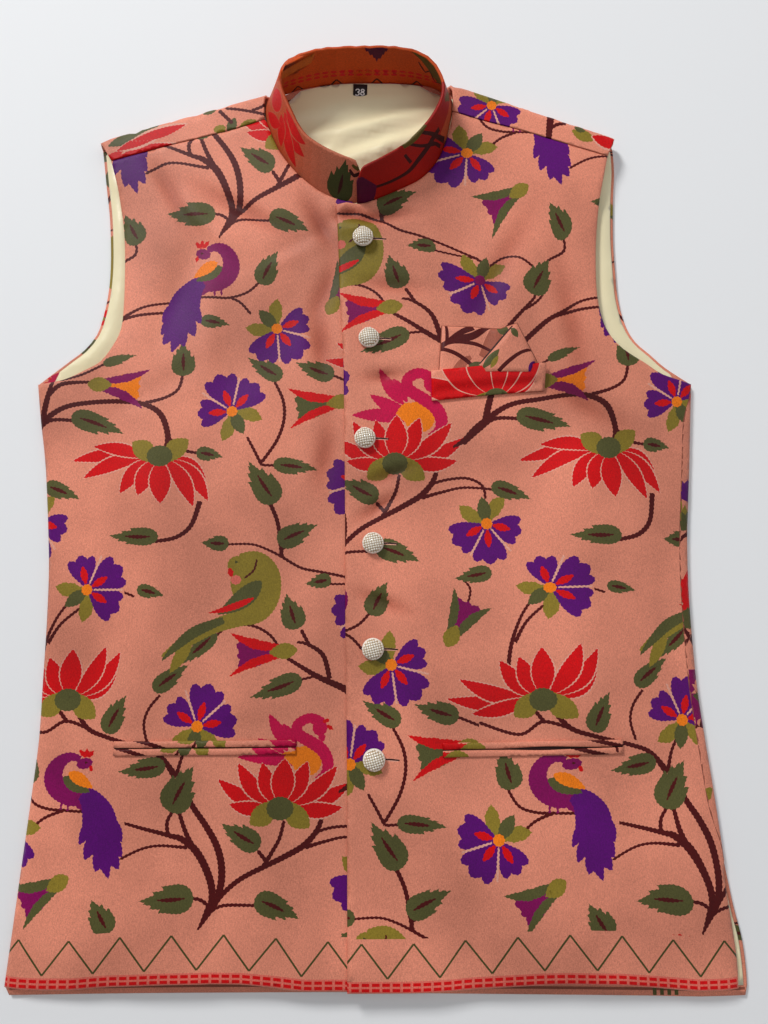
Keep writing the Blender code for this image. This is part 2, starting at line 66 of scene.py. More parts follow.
def node(tree, kind, links=None, values=None, **settings):
    """Adds one shader node, sets it and joins other nodes' outputs to its inputs."""
    made = tree.nodes.new(kind)
    for key, value in settings.items():
        setattr(made, key, value)
    for key, value in (values or {}).items():
        made.inputs[key].default_value = value
    for key, output in (links or {}).items():
        tree.links.new(output, made.inputs[key])
    return made


def finish_named(name):
    """A new material with its tree and its Principled shader."""
    made = bpy.data.materials.new(name)
    made.use_nodes = True
    return made, made.node_tree, made.node_tree.nodes["Principled BSDF"]


# Matt white paint: an even pale ground, on which only soft shadows show.
floor_finish, tree, shader = finish_named("pale_painted_floor")
shader.inputs["Base Color"].default_value = tint("#EDEEEF")
shader.inputs["Roughness"].default_value = 0.8
shape = bmesh.new()
bmesh.ops.create_grid(shape, x_segments=1, y_segments=1, size=3.0)
bmesh.ops.translate(shape, vec=(0, 0, -FLOOR_DROP * MM), verts=shape.verts)
floor_mesh = bpy.data.meshes.new("floor")
shape.to_mesh(floor_mesh)
shape.free()
floor_mesh.materials.append(floor_finish)
floor = bpy.data.objects.new("floor", floor_mesh)
bpy.context.scene.collection.objects.link(floor)

for lamp_name, place, size, power in (
    ("window", (-1.7, 2.6, 2.1), 0.8, 106.0),
    ("fill", (1.4, 0.1, 1.5), 1.8, 4.6),
    ("top", (0.1, 0.25, 1.6), 1.0, 2.4),
):
    lamp_data = bpy.data.lights.new(lamp_name, "AREA")
    lamp_data.size, lamp_data.energy = size, power
    lamp = bpy.data.objects.new(lamp_name, lamp_data)
    lamp.location = place
    lamp.rotation_euler = Vector(place).to_track_quat("Z", "Y").to_euler()
    bpy.context.scene.collection.objects.link(lamp)
world = bpy.data.worlds.new("daylight")
world.use_nodes = True
world.node_tree.nodes["Background"].inputs["Color"].default_value = tint("#F4F6FA")
world.node_tree.nodes["Background"].inputs["Strength"].default_value = 0.31
bpy.context.scene.world = world


# The brocade: a hand-loom silk and cotton cloth on a salmon ground, with flowering trees, lotus and birds
# woven in. The same tree comes again every 500 mm, and in the next column half of that higher.
# All plans are in millimetres on the table top, as in the CAD source; SHIFT centres them.
SHIFT = (0.925, 12.8)
REPEAT_HEIGHT = 500.0
COLUMN_STEP = 250.0
THREAD = {
    "ground": tint("#DF8A70"), "purple": tint("#58006A"), "magenta": tint("#7E0052"), "red": tint("#D00006"),
    "pink": tint("#C40044"), "orange": tint("#F07C10"), "olive": tint("#8A7626"), "green": tint("#54522A"),
    "maroon": tint("#4E0808"), "pale": tint("#E0A08C"), "vine": tint("#47461F"), "rose": tint("#DC6C5C"),
    # fold is painted shade in the folds of the pocket square.
    # mouth is near black: painted shade in pocket mouths, buttonhole slits and under the square's flap, and
    # dark woven lines on the collar.
    # seam is a real dark seam at the side, and painted shade along the square's edges and below the front's
    # hem on the back.
    "mouth": tint("#2A0F0C"), "seam": tint("#8E4E3C"), "fold": tint("#A65A45"),
}


def turned(points, angle, x=0.0, y=0.0):
    """Points turned by an angle in degrees round the origin, then moved to x, y."""
    cos, sin = math.cos(math.radians(angle)), math.sin(math.radians(angle))
    return [(x + px * cos - py * sin, y + px * sin + py * cos) for px, py in points]


def smooth(points, step):
    """Points about one step apart on a soft curve through the given ones, both ends kept."""
    out, last = [tuple(points[0])], len(points) - 1
    for i in range(last):
        around = points[max(i - 1, 0)], points[i], points[i + 1], points[min(i + 2, last)]
        count = max(1, round(math.dist(around[1][:2], around[2][:2]) / step))
        for k in range(1, count + 1):
            t = k / count
            out.append(tuple(
                0.5 * (2 * b + (c - a) * t + (2 * a - 5 * b + 4 * c - d) * t * t
                       + (3 * b - a - 3 * c + d) * t ** 3)
                for a, b, c, d in zip(*around)))
    return out


def ribbon(path, step=2.0):
    """The outline of a stem, neck or tail along (x, y, width) points."""
    rows = smooth(path, step)
    left, right = [], []
    for i, (x, y, width) in enumerate(rows):
        (ax, ay, _), (bx, by, _) = rows[max(i - 1, 0)], rows[min(i + 1, len(rows) - 1)]
        length = math.hypot(bx - ax, by - ay) or 1.0
        nx, ny = -(by - ay) / length * width / 2, (bx - ax) / length * width / 2
        left.append((x + nx, y + ny))
        right.append((x - nx, y - ny))
    return left + right[::-1]


def blade(start, tip, width, bend=0.0, fullest=0.5, teeth=0):
    """A petal or feather from its start to its pointed tip, bent to the left by a share of its length."""
    (ax, ay), (bx, by) = start, tip
    length = math.hypot(bx - ax, by - ay)
    ux, uy = (bx - ax) / length, (by - ay) / length
    count = max(5, round(length / 1.8))
    sides = []
    for side in (1, -1):
        line = []
        for k in range(count + 1):
            t = k / count
            swell = math.sin(math.pi * t ** (math.log(0.5) / math.log(fullest))) ** 0.85
            notch = 0.24 * ((t * teeth) % 1.0) if teeth and 0.2 < t < 0.95 else 0.0
            across = bend * length * 4 * t * (1 - t) * 0.5 + side * width / 2 * swell * (1 - notch)
            along = t * length
            line.append((ax + along * ux - across * uy, ay + along * uy + across * ux))
        sides.append(line)
    return sides[0] + sides[1][-2:0:-1]


def oval(x, y, wide, high, angle=0.0):
    """The outline of an eye, heart or cup."""
    count = max(10, round(math.pi * (wide + high) / 2 / 1.6))
    return turned([(wide / 2 * math.cos(math.tau * k / count), high / 2 * math.sin(math.tau * k / count))
                   for k in range(count)], angle, x, y)


LEAF_EDGES = (
    # share of the length and of half the width, up each side from the stalk; the hooks point to the tip
    ((0.0, 0.12), (0.03, 0.5), (0.12, 0.84), (0.26, 1.0), (0.42, 0.96), (0.56, 0.86), (0.68, 0.86),
     (0.62, 0.62), (0.72, 0.60), (0.84, 0.56), (0.79, 0.36), (0.87, 0.30), (0.95, 0.24), (0.92, 0.12)),
    ((0.0, 0.12), (0.04, 0.55), (0.14, 0.86), (0.28, 0.98), (0.44, 0.92), (0.60, 0.88), (0.54, 0.62),
     (0.66, 0.56), (0.78, 0.56), (0.73, 0.34), (0.84, 0.22), (0.92, 0.12)),
)


def leaf(x, y, angle, length, width, rib=True):
    """A round-based leaf with hooked teeth toward its tip, and its middle vein."""
    upper, lower = ([((t - 0.5) * length, side * width * 0.45 * share) for t, share in edge]
                    for side, edge in zip((1, -1), LEAF_EDGES))
    shapes = [("green", turned(upper + [(0.54 * length, 0.0)] + lower[::-1], angle, x, y))]
    if rib:
        vein = blade((-0.36 * length, 0), (0.20 * length, 0), 2.8, 0.04)
        shapes.append(("maroon", turned(vein, angle, x, y)))
    return shapes


def flower(x, y, axis, size=1.0, eye="orange"):
    """Three scalloped petals with red hearts round an eye, and three leaves behind."""
    shapes = []
    for off, reach, width in ((142, 24, 12), (-128, 24, 12)):
        tip = turned([(reach * size, 0)], axis + off)[0]
        shapes.append(("olive", turned(blade((0, 0), tip, width * size, 0.12, 0.55, 3), 0, x, y)))
    tip = turned([(20 * size, 0)], axis + 186)[0]
    shapes.append(("green", turned(blade((0, 0), tip, 10 * size), 0, x, y)))
    for off, reach in ((72, 26), (0, 31), (-64, 29)):
        edge = [(0.0, 0.0)]
        for k in range(19):
            u = -1 + k / 9
            scallop = 0.87 + 0.13 * abs(math.sin(1.5 * math.pi * (u + 1))) - 0.30 * abs(u) ** 5
            a = math.radians(35 * u)
            edge.append((reach * size * scallop * math.cos(a), reach * size * scallop * math.sin(a)))
        shapes.append(("purple", turned(edge, axis + off, x, y)))
    for off in (72, 0, -64):
        shapes.append(("red", turned(blade((4, 0), (18 * size, 0), 5.6 * size), axis + off, x, y)))
    for off in (36, -32):
        line = ribbon([(5, 0, 1.2), (15, 0, 1.6), (27 * size, 0, 1.4)])
        shapes.append(("pale", turned(line, axis + off, x, y)))
    shapes.append((eye, oval(x, y, 8.4 * size, 8.4 * size)))
    return shapes


def bud(x, y, angle, length, outer, inner):
    """A bud on its cap: two long outer leaves round a scalloped cup."""
    cup = [(0.10 * length, -3.5), (0.10 * length, 3.5), (0.5 * length, 8.6)]
    for k in range(9):
        cup.append((length * (0.78 + 0.10 * abs(math.sin(k * math.pi / 2.67))), 10.6 - 21.2 * k / 8))
    cup += [(0.5 * length, -8.6)]
    parts = [
        (inner, cup),
        (outer, blade((1, 3), (1.04 * length, 14), 7.0, -0.14, 0.45, 4)),
        (outer, blade((1, -3), (0.96 * length, -17), 8.0, 0.16, 0.45, 4)),
        ("olive", blade((-0.22 * length, 0), (0.30 * length, 0), 11.5, 0, 0.45)),
    ]
    return [(colour, turned(points, angle, x, y)) for colour, points in parts]


LOTUS_ON_TREE = (
    # tip_x, tip_y, width, bend
    (-44, 20, 10.5, 0.17), (-36, 3, 9.5, 0.17), (50, 18, 10.5, -0.17), (44, 1, 10.5, -0.15),
    (40, 29, 11.0, -0.16), (-30, 31, 11.5, 0.16), (-13, 31, 12.5, 0.10), (19, 32, 12.5, -0.10),
    (3, 34, 16.0, 0.0),
)
LOTUS_ON_BRANCH = (
    (-67, 3, 10.0, 0.13), (-58, 16, 11.0, 0.16), (-51, -8, 9.5, 0.10), (35, 18, 11.5, -0.17),
    (37, 34, 11.5, -0.20), (-29, 28, 12.5, 0.14), (26, 38, 11.5, -0.14), (-15, 30, 13.5, 0.08),
    (2, 36, 15.5, 0.0),
)


def lotus(x, y, tips, flip=1):
    """A lotus: long red petals with pale edges over a green cup with two olive ears."""
    shapes = []
    for tip_x, tip_y, width, bend in tips:
        start = (0.16 * tip_x, 2.0)
        shapes.append(("pale", blade(start, (tip_x * 1.01, tip_y * 1.01), width + 1.8, bend, 0.5)))
        shapes.append(("red", blade(start, (tip_x, tip_y), width, bend, 0.5)))
    shapes.append(("olive", blade((-4, 6), (-21, -11), 15, 0.16, 0.55)))
    shapes.append(("olive", blade((4, 6), (21, -13), 15, -0.16, 0.55)))
    shapes.append(("green", oval(0, 0, 19, 16)))
    return [(colour, [(x + px, y + flip * py) for px, py in points]) for colour, points in shapes]


def peacock(x, y, flip=1):
    """A peacock that looks back over its wing, drawn round the middle of its body, tail down."""
    parts = [
        ("magenta", ribbon([(-6.6, 1, 2.4), (-7, -5, 1.6), (-7.4, -10, 1.5)])),
        ("magenta", ribbon([(-1.6, -2, 2.4), (-2, -7, 1.6), (-2.2, -10.5, 1.5)])),
        ("magenta", blade((5, 1), (9, -10), 9)),
        ("magenta", ribbon([(5, 24.8, 4.5), (-2, 26.5, 6), (-8.9, 23.5, 9), (-13.2, 17.5, 12),
                            (-13.9, 10.8, 13.5), (-9.7, 4.1, 14), (-1.2, -0.2, 13.5), (10, -0.8, 11)])),
        ("magenta", oval(8.1, 22, 12, 7.6, 12)),
        ("purple", ribbon([(8, 2, 10), (14, -3, 16), (19.5, -12, 23), (22.4, -23, 25), (24.2, -34, 18),
                           (26.4, -45, 10), (29.5, -55, 1)])),
        ("purple", blade((14, -14), (7.5, -33), 8, 0.12)), ("purple", blade((17, -24), (12, -43), 9, 0.12)),
        ("purple", blade((22, -32), (20, -51), 9, 0.12)), ("purple", blade((31, -14), (38, -31), 8, -0.12)),
        ("purple", blade((31, -24), (38.5, -41), 8, -0.12)),
        ("purple", blade((30, -34), (36.5, -49), 8, -0.10)),
        ("green", blade((-7.3, 12.4), (13.5, 2.6), 9.5, -0.05, 0.42)),
        ("orange", blade((-3.5, 15.6), (15.4, 4.9), 8.5, 0.06, 0.4)),
        ("red", blade((9, 26), (3.6, 31.5), 3.4)), ("red", blade((9.6, 26), (9.2, 32.4), 3.4)),
        ("red", blade((10.2, 26), (14.4, 31), 3.4)), ("red", blade((12.4, 21), (13.6, 16.4), 3.0)),
        ("maroon", oval(9.2, 22.6, 2.6, 1.6)),
    ]
    return [(colour, [(x + flip * px, y + py) for px, py in points]) for colour, points in parts]


def parrot(x, y):
    """A parrot on a curved twig, head up at the left and its long tail down behind."""
    parts = [
        ("olive", oval(-13, 20, 15, 13)),
        ("olive", oval(-4, 4, 26, 34, 24)), ("rose", oval(-14, 9, 8, 7)),
        ("olive", ribbon([(-12, 22, 12), (0, 21, 18), (8, 12, 20), (9, -3, 18), (2, -14, 16), (-12, -19, 12),
                          (-30, -25, 10), (-49, -35, 9), (-66, -46, 2)])),
        ("olive", blade((-44, -32), (-60, -58), 9)),
        ("green", ribbon([(-22, -20, 5), (-42, -28, 8), (-55, -38, 6), (-66, -49, 1)])),
        ("green", blade((5, 8), (-27, -16), 14, 0.10, 0.4)),
        ("red", blade((0, -4), (-34, -15), 5.0, 0.08, 0.4)),
        ("maroon", ribbon([(1, 24, 1.3), (-1, 16, 1.5), (-8, 10, 1.3)])),
        ("red", blade((-19, 18), (-17, 11), 4.5)), ("vine", oval(-14, 22, 2.4, 2.4)),
    ]
    return [(colour, [(x + px, y + py) for px, py in points]) for colour, points in parts]


def swan(x, y):
    """A swan on the lotus, neck looped back, tail feathers up at the left."""
    parts = [
        ("pink", blade((-8, 6), (-26, 31), 9, 0.10)), ("pink", blade((-6, 8), (-16, 24), 8, 0.0)),
        ("pink", blade((-2, -4), (-48, 1), 9, -0.06)), ("pink", blade((-2, 0), (-34, 14), 9, 0.1)),
        ("orange", oval(1.5, -1.5, 21, 21)), ("orange", blade((4, 3), (-15, 0), 13)),
        ("pink", ribbon([(11, 24, 9), (7, 27, 7.5), (1.2, 27.5, 6.8), (-5.8, 22.8, 7.4), (-4.5, 16.4, 8.2),
                         (4.6, 11, 8.6), (12.4, 5.6, 8.8), (16.3, -2.6, 8.2), (14.8, -10.4, 7),
                         (8.1, -15.1, 4.6)])),
        ("pink", oval(10.4, 21, 10.6, 11)), ("pink", blade((11, 18), (12.8, 11.4), 5.5)),
        ("red", blade((12, 25), (17.4, 26.8), 3.2)), ("red", blade((15, 23), (20, 19.8), 3)),
    ]
    return [(colour, [(x + px, y + py) for px, py in points]) for colour, points in parts]


# Places on the cloth, from the foot of a tree.
LEAVES = (
    # x, y, angle of the tip, length, width
    (-72, 6, 122, 25, 20), (-26, 18, 184, 37, 22), (50, 12, -24, 33, 19), (24, 60, 150, 31, 18),
    (-47, 105, 188, 33, 16), (-19, 91, 62, 34, 26), (-29, 168, 36, 30, 15), (-68, 142, 62, 29, 18),
    (47, 161, 200, 38, 17), (57, 215, 108, 26, 20), (-10, 189, 222, 34, 14), (-46, 229, -15, 21, 11),
    (76, 237, 190, 19, 12), (0, 265, 177, 20, 13), (-60, 270, 178, 37, 15), (60, 272, 24, 31, 19),
    (-117, 304, -22, 30, 14), (34, 310, 124, 36, 23), (58, 322, -8, 33, 14), (-6, 331, -12, 20, 12),
    (-92, 355, -20, 43, 18), (34, 398, 148, 30, 16), (72, 397, 160, 30, 17), (-28, 405, 92, 26, 21),
    (-5, 434, -10, 22, 12), (35, 477, 62, 27, 19), (-91, 467, 58, 31, 24),
    (-148, 243, 190, 27, 15), (-132, 106, 104, 27, 21),
)
FLOWERS = (
    # x, y, axis
    (-9, 134, 74), (-94, 231, 32), (10, 364, 112), (42, 430, -52), (114, 32, 272), (-141, 60, 228),
    (113, 217, 246, 0.95, "magenta"),
)
BUDS = (
    # x, y, angle of the mouth, length, outer, inner
    (-102, 28, 212, 36, "green", "magenta"), (84, 447, 62, 33, "green", "magenta"),
    (53, 187, 186, 40, "red", "magenta"), (-93, 386, -4, 38, "magenta", "orange"),
    (92, 372, 190, 40, "red", "green"),
)
STEMS = (
    # each a row of x, y, width
    ((-4, -2, 1), (0, 5, 3.6), (5, 14, 7)),
    ((4.4, 12, 4), (5, 25, 5), (0, 39, 5.2), (-8, 51, 5.2), (-18, 58, 4.2), (-27, 60, 3.2), (-58, 68, 2)),
    ((-9, 52, 3.8), (-15, 63, 3.2), (-20, 76, 2.8)), ((-27, 60, 3), (-28, 69, 2.6), (-23, 78, 2.4)),
    ((6.4, 13, 4), (11, 27, 5), (11, 41, 5), (7, 54, 4.8), (-1, 67, 4.4), (-10, 79, 4), (-17, 91, 3.4)),
    ((5.6, 12, 3.6), (12, 21, 3.4), (24, 31, 3.4), (40, 39, 3.6), (55, 46, 4), (69, 54, 4.2),
     (78, 65, 3.6), (81, 76, 3)),
    ((40, 39, 3.2), (46, 49, 2.8), (51, 58, 2.6), (54, 70, 2.4)), ((42, 43, 3), (36, 50, 2.4)),
    ((67, 53, 3), (79, 63, 2.2), (99, 66, 2), (112, 60, 2), (114, 50, 2)),
    ((69, 52, 3), (83, 56, 2.2), (99, 59, 1.8), (124, 56, 1.8)),
    ((4, 13, 2.6), (-3, 18, 2.4), (-12, 19, 2)), ((2, 8, 2), (13, 14, 2.2), (37, 14, 2)),
    ((-13, 52, 2.4), (-32, 53, 1.8), (-45, 51, 1.8), (-60, 44, 1.8)),
    ((-134, 96, 2), (-126, 82, 2), (-114, 77, 2), (-102, 76, 2), (-81, 75, 1.8)),
    ((-102, 76, 2.4), (-115, 71, 2), (-124, 64, 2)),
    ((-23, 99, 5), (-34, 113, 3.4), (-48, 119, 3), (-73, 126, 3), (-88, 132, 3.4), (-97, 144, 3.4)),
    ((-88, 132, 2.4), (-105, 137, 2.4), (-122, 129, 2.2), (-150, 138, 2.2)),
    ((-104, 137, 3), (-110, 145, 2.6)), ((-23, 99, 3), (-19, 113, 2.2), (-14, 122, 2)),
    ((-44, 122, 2), (-47, 135, 2), (-44, 146, 2), (-36, 156, 2)),
    ((0, 195, 2), (9, 203, 2), (20, 206, 2), (32, 204, 2), (42, 198, 2), (48, 190, 2)),
    ((51, 184, 2.4), (64, 176, 3), (78, 168, 4), (96, 160, 5), (110, 150, 5.5)),
    ((61, 193, 1.8), (68, 192, 2.4), (80, 184, 3.4), (85, 167, 3.6)), ((64, 202, 2.6), (70, 191, 2.6)),
    ((62, 166, 1.6), (78, 170, 2)), ((37, 300, 3), (45, 282, 3), (48, 264, 3), (49, 254, 3)),
    ((49, 255, 2), (39, 260, 1.8), (27, 264, 1.6), (9, 264, 1.6)),
    ((49, 255, 2.2), (63, 247, 2), (77, 244, 2), (96, 240, 2), (112, 234, 2), (120, 224, 2)),
    ((49, 260, 2), (54, 265, 2)), ((84, 235, 1.6), (112, 235, 1.6)),
    ((-12, 296, 4), (-18, 278, 3.4), (-29, 269, 3), (-44, 266, 2.6)), ((-58, 226, 1.8), (-66, 229, 1.8)),
    ((-107, 222, 2), (-116, 209, 2.2), (-124, 190, 3), (-128, 168, 3)),
    ((-98, 218, 2), (-112, 206, 2.2), (-121, 192, 3)),
    ((-151, 341, 3), (-140, 352, 5), (-128, 359, 3), (-108, 358, 2.6)),
    ((-158, 339, 1.6), (-150, 344, 4), (-140, 354, 5.5), (-120, 368, 4), (-97, 372, 3.6),
     (-67, 372, 3.6), (-52, 368, 4), (-43, 361, 4.4), (-38, 348, 4.4), (-38, 338, 4), (-42, 330, 3)),
    ((-38, 345, 4), (-32, 338, 3), (-24, 334, 2.4), (-13, 332, 2)),
    ((-136, 356, 5), (-133, 373, 5), (-128, 391, 2.6), (-120, 404, 2)),
    ((-131, 379, 4), (-121, 387, 3.4), (-98, 388, 2)), ((-123, 390, 2), (-106, 394, 2), (-88, 402, 1.8)),
    ((-56, 371, 3), (-41, 375, 2.4), (-31, 382, 2.4), (-28, 396, 2.4)),
    ((22, 344, 2), (28, 333, 2.2), (33, 323, 2.4)),
    ((41, 388, 2), (48, 373, 2.4), (49, 358, 2.4), (44, 342, 2.4), (33, 325, 2.4)),
    ((33, 323, 2), (45, 323, 1.8)), ((84, 393, 2), (100, 386, 2)),
    ((-108, 416, 4), (-90, 431, 3.8), (-76, 439, 2.8), (-60, 447, 2), (-40, 451, 1.8)),
    ((-84, 435, 3), (-66, 440, 2.4), (-42, 443, 2)),
    ((-24, 455, 1.8), (-6, 454, 2), (6, 454, 2), (20, 459, 2), (31, 470, 2)),
    ((6, 454, 2), (14, 450, 2), (22, 441, 2)),
    ((-122, 424, 3.6), (-113, 434, 3), (-102, 445, 2.4), (-96, 452, 2), (-95, 462, 1.8)),
    ((-108, 440, 2.4), (-97, 446, 2), (-90, 453, 1.8), (-88, 462, 1.6)),
    ((-92, 470, 2.2), (-83, 480, 2), (-69, 487, 2.2), (-69, 496, 2)),
    ((-95, 474, 2), (-106, 483, 1.8), (-118, 484, 1.8), (-129, 478, 1.8)),
    ((95, 466, 1.8), (99, 482, 1.6), (92, 492, 1.6)),
)


def toothed(points, step=1.5, depth=0.26):
    """The outline walked round in small steps that go a thread out and a thread in, as a loom weaves it."""
    ring = np.array(points + points[:1], float)
    run = np.concatenate([[0.0], np.cumsum(np.linalg.norm(np.diff(ring, axis=0), axis=1))])
    count = max(6, 2 * round(run[-1] / step / 2))
    places = np.linspace(0, run[-1], count, endpoint=False)
    walked = np.stack([np.interp(places, run, ring[:, k]) for k in (0, 1)], 1)
    along = np.roll(walked, -1, 0) - np.roll(walked, 1, 0)
    out = np.stack([along[:, 1], -along[:, 0]], 1) / np.maximum(np.linalg.norm(along, axis=1), 1e-6)[:, None]
    return walked + out * (depth * (1 - 2 * (np.arange(count) % 2)))[:, None]


def tree_marks():
    """Every mark of one repeat, in the order in which they lie on one another."""
    marks = [("maroon", ribbon(stem)) for stem in STEMS]
    for x, y, angle, length, width in LEAVES:
        marks += leaf(x, y, angle, length, width)
    marks += leaf(-77, 405, 14, 26, 9, rib=False)
    for place in FLOWERS:
        marks += flower(*place)
    for place in BUDS:
        marks += bud(*place)
    marks += swan(68, 112) + lotus(51, 78, LOTUS_ON_TREE)
    marks += lotus(-104, 152, LOTUS_ON_BRANCH) + lotus(-43, 330, LOTUS_ON_BRANCH, -1)
    marks += peacock(-97, 86) + peacock(-8, 465.5, -1) + parrot(30, 229)
    return [(colour, toothed(points)) for colour, points in marks]


ONE_TREE = tree_marks()


def pattern(foot, turn, stretch, low, high, pull=None):
    """The marks of the cloth inside the box low to high, for a tree that stands at foot."""
    cos, sin = math.cos(math.radians(turn)), math.sin(math.radians(turn))
    marks = []
    for column in range(-3, 4):
        for row in range(-3, 4):
            over, up = column * COLUMN_STEP, column * REPEAT_HEIGHT / 2 + row * REPEAT_HEIGHT
            for colour, points in ONE_TREE:
                placed = np.array(points) + (over, up)
                placed[:, 1] *= stretch
                placed = np.stack([placed[:, 0] * cos - placed[:, 1] * sin,
                                   placed[:, 0] * sin + placed[:, 1] * cos], 1) + foot
                placed = placed if pull is None else pull(placed)
                if (placed.max(0) > low).all() and (placed.min(0) < high).all():
                    marks.append((colour, placed))
    return marks


def within(points, outline):
    """Which points lie inside an outline."""
    x, y = points[:, 0], points[:, 1]
    odd = np.zeros(len(points), bool)
    for (ax, ay), (bx, by) in zip(outline, np.roll(outline, -1, 0)):
        if ay != by:
            odd ^= ((ay > y) != (by > y)) & (x < ax + (bx - ax) * (y - ay) / (by - ay))
    return odd


def distance(points, line):
    """Distance of each point to a line of points."""
    best = np.full(len(points), 1e9)
    for a, b in zip(line, line[1:]):
        a, along = np.array(a[:2]), np.array(b[:2]) - np.array(a[:2])
        share = np.clip((points - a) @ along / max(along @ along, 1e-9), 0, 1)
        best = np.minimum(best, np.linalg.norm(points - a - share[:, None] * along, axis=1))
    return best


def ramp(value, low, high):
    """0 below low, 1 above high and a soft step between; low may be the larger one."""
    t = np.clip((value - low) / (high - low), 0.0, 1.0)
    return t * t * (3 - 2 * t)


def mark_on_top(middle, marks):
    """The number of the last mark that holds each place, or -1 on the bare ground."""
    on_top = np.full(len(middle), -1)
    for number, (_, shape_points) in enumerate(marks):
        shape_points = np.array(shape_points, float)
        hit = np.flatnonzero(((middle >= shape_points.min(0)) & (middle <= shape_points.max(0))).all(1))
        on_top[hit[within(middle[hit], shape_points)]] = number
    return on_top


def thread_colours(marks, on_top, ground="ground"):
    """The colour of each face, from the number of the mark on it; -1 is the last colour, the ground's."""
    return np.array([THREAD[colour] for colour, _ in marks] + [THREAD[ground]])[on_top]


def cut_cloth(outline, marks, spacing, edge_rows=(0.7, 1.9)):
    """Flat triangles of a cloth, cut along each mark: (points, faces, number of the mark on top or -1)."""
    outline = np.array([p[:2] for p in outline], float)
    ring = np.vstack([outline, outline[:1]])
    low, high = outline.min(0), outline.max(0)
    flat, edges = [tuple(p) for p in outline], [(i, (i + 1) % len(outline)) for i in range(len(outline))]
    for _, shape_points in marks:
        shape_points = np.array(shape_points, float)
        near = within(shape_points, outline)
        first, count = len(flat), len(shape_points)
        if near.any():
            flat += [tuple(p) for p in shape_points]
            edges += [(first + i, first + (i + 1) % count) for i in range(count)
                      if near[i] or near[(i + 1) % count]]
    rows = np.arange(low[1] + spacing / 2, high[1], spacing * 0.866)
    grid = np.array([(x + (0.5 * spacing if i % 2 else 0.0), y) for i, y in enumerate(rows)
                     for x in np.arange(low[0], high[0], spacing)])
    grid = grid[within(grid, outline)]
    grid = grid[distance(grid, ring) > 0.5 * spacing]
    turn = np.roll(outline, -1, 0) - np.roll(outline, 1, 0)
    turn = np.stack([-turn[:, 1], turn[:, 0]], 1) / np.maximum(np.linalg.norm(turn, axis=1), 1e-9)[:, None]
    area = np.sum(outline[:, 0] * np.roll(outline[:, 1], -1) - np.roll(outline[:, 0], -1) * outline[:, 1])
    for depth in edge_rows:
        moved = outline + turn * depth * (1 if area > 0 else -1)
        flat += [tuple(p) for p in moved[(distance(moved, ring) > 0.8 * depth) & within(moved, outline)]]
    flat += [tuple(p) for p in grid]
    points, _, faces, *_ = delaunay_2d_cdt([Vector(p) for p in flat], edges, [], 0, 1e-5)
    points, faces = np.array([tuple(p) for p in points]), np.array([tuple(f) for f in faces])
    middle = points[faces].mean(1)
    keep = within(middle, outline)
    faces, middle = faces[keep], middle[keep]
    used, index = np.unique(faces, return_inverse=True)
    points, faces = points[used], index.reshape(-1, 3)
    side = points[faces]
    turning = np.cross(side[:, 1] - side[:, 0], side[:, 2] - side[:, 0])
    faces[turning < 0] = faces[turning < 0][:, ::-1]
    return points, faces, mark_on_top(middle, marks)


def sewn(name, points, faces, thickness, finishes, colours=None, inner=0):
    """A cloth piece: a closed wall behind the given face. The inner side takes the material numbered inner."""
    mesh = bpy.data.meshes.new(name)
    placed = (np.array(points) + (*SHIFT, 0.0)) * MM
    mesh.from_pydata(placed.tolist(), [], np.array(faces).tolist())
    for finish in finishes:
        mesh.materials.append(finish)
    for label, values in (colours or {}).items():
        layer = mesh.color_attributes.new(label, "FLOAT_COLOR", "CORNER")
        corners = np.repeat(values, 3 * len(faces) // len(values), 0)
        layer.data.foreach_set("color", corners.astype(np.float32).ravel())
    mesh.shade_smooth()
    made = bpy.data.objects.new(name, mesh)
    bpy.context.scene.collection.objects.link(made)
    wall = made.modifiers.new("wall", "SOLIDIFY")
    wall.thickness, wall.offset, wall.material_offset = thickness * MM, -1, inner
    wall.use_quality_normals = True
    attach(made, "root")
    return made


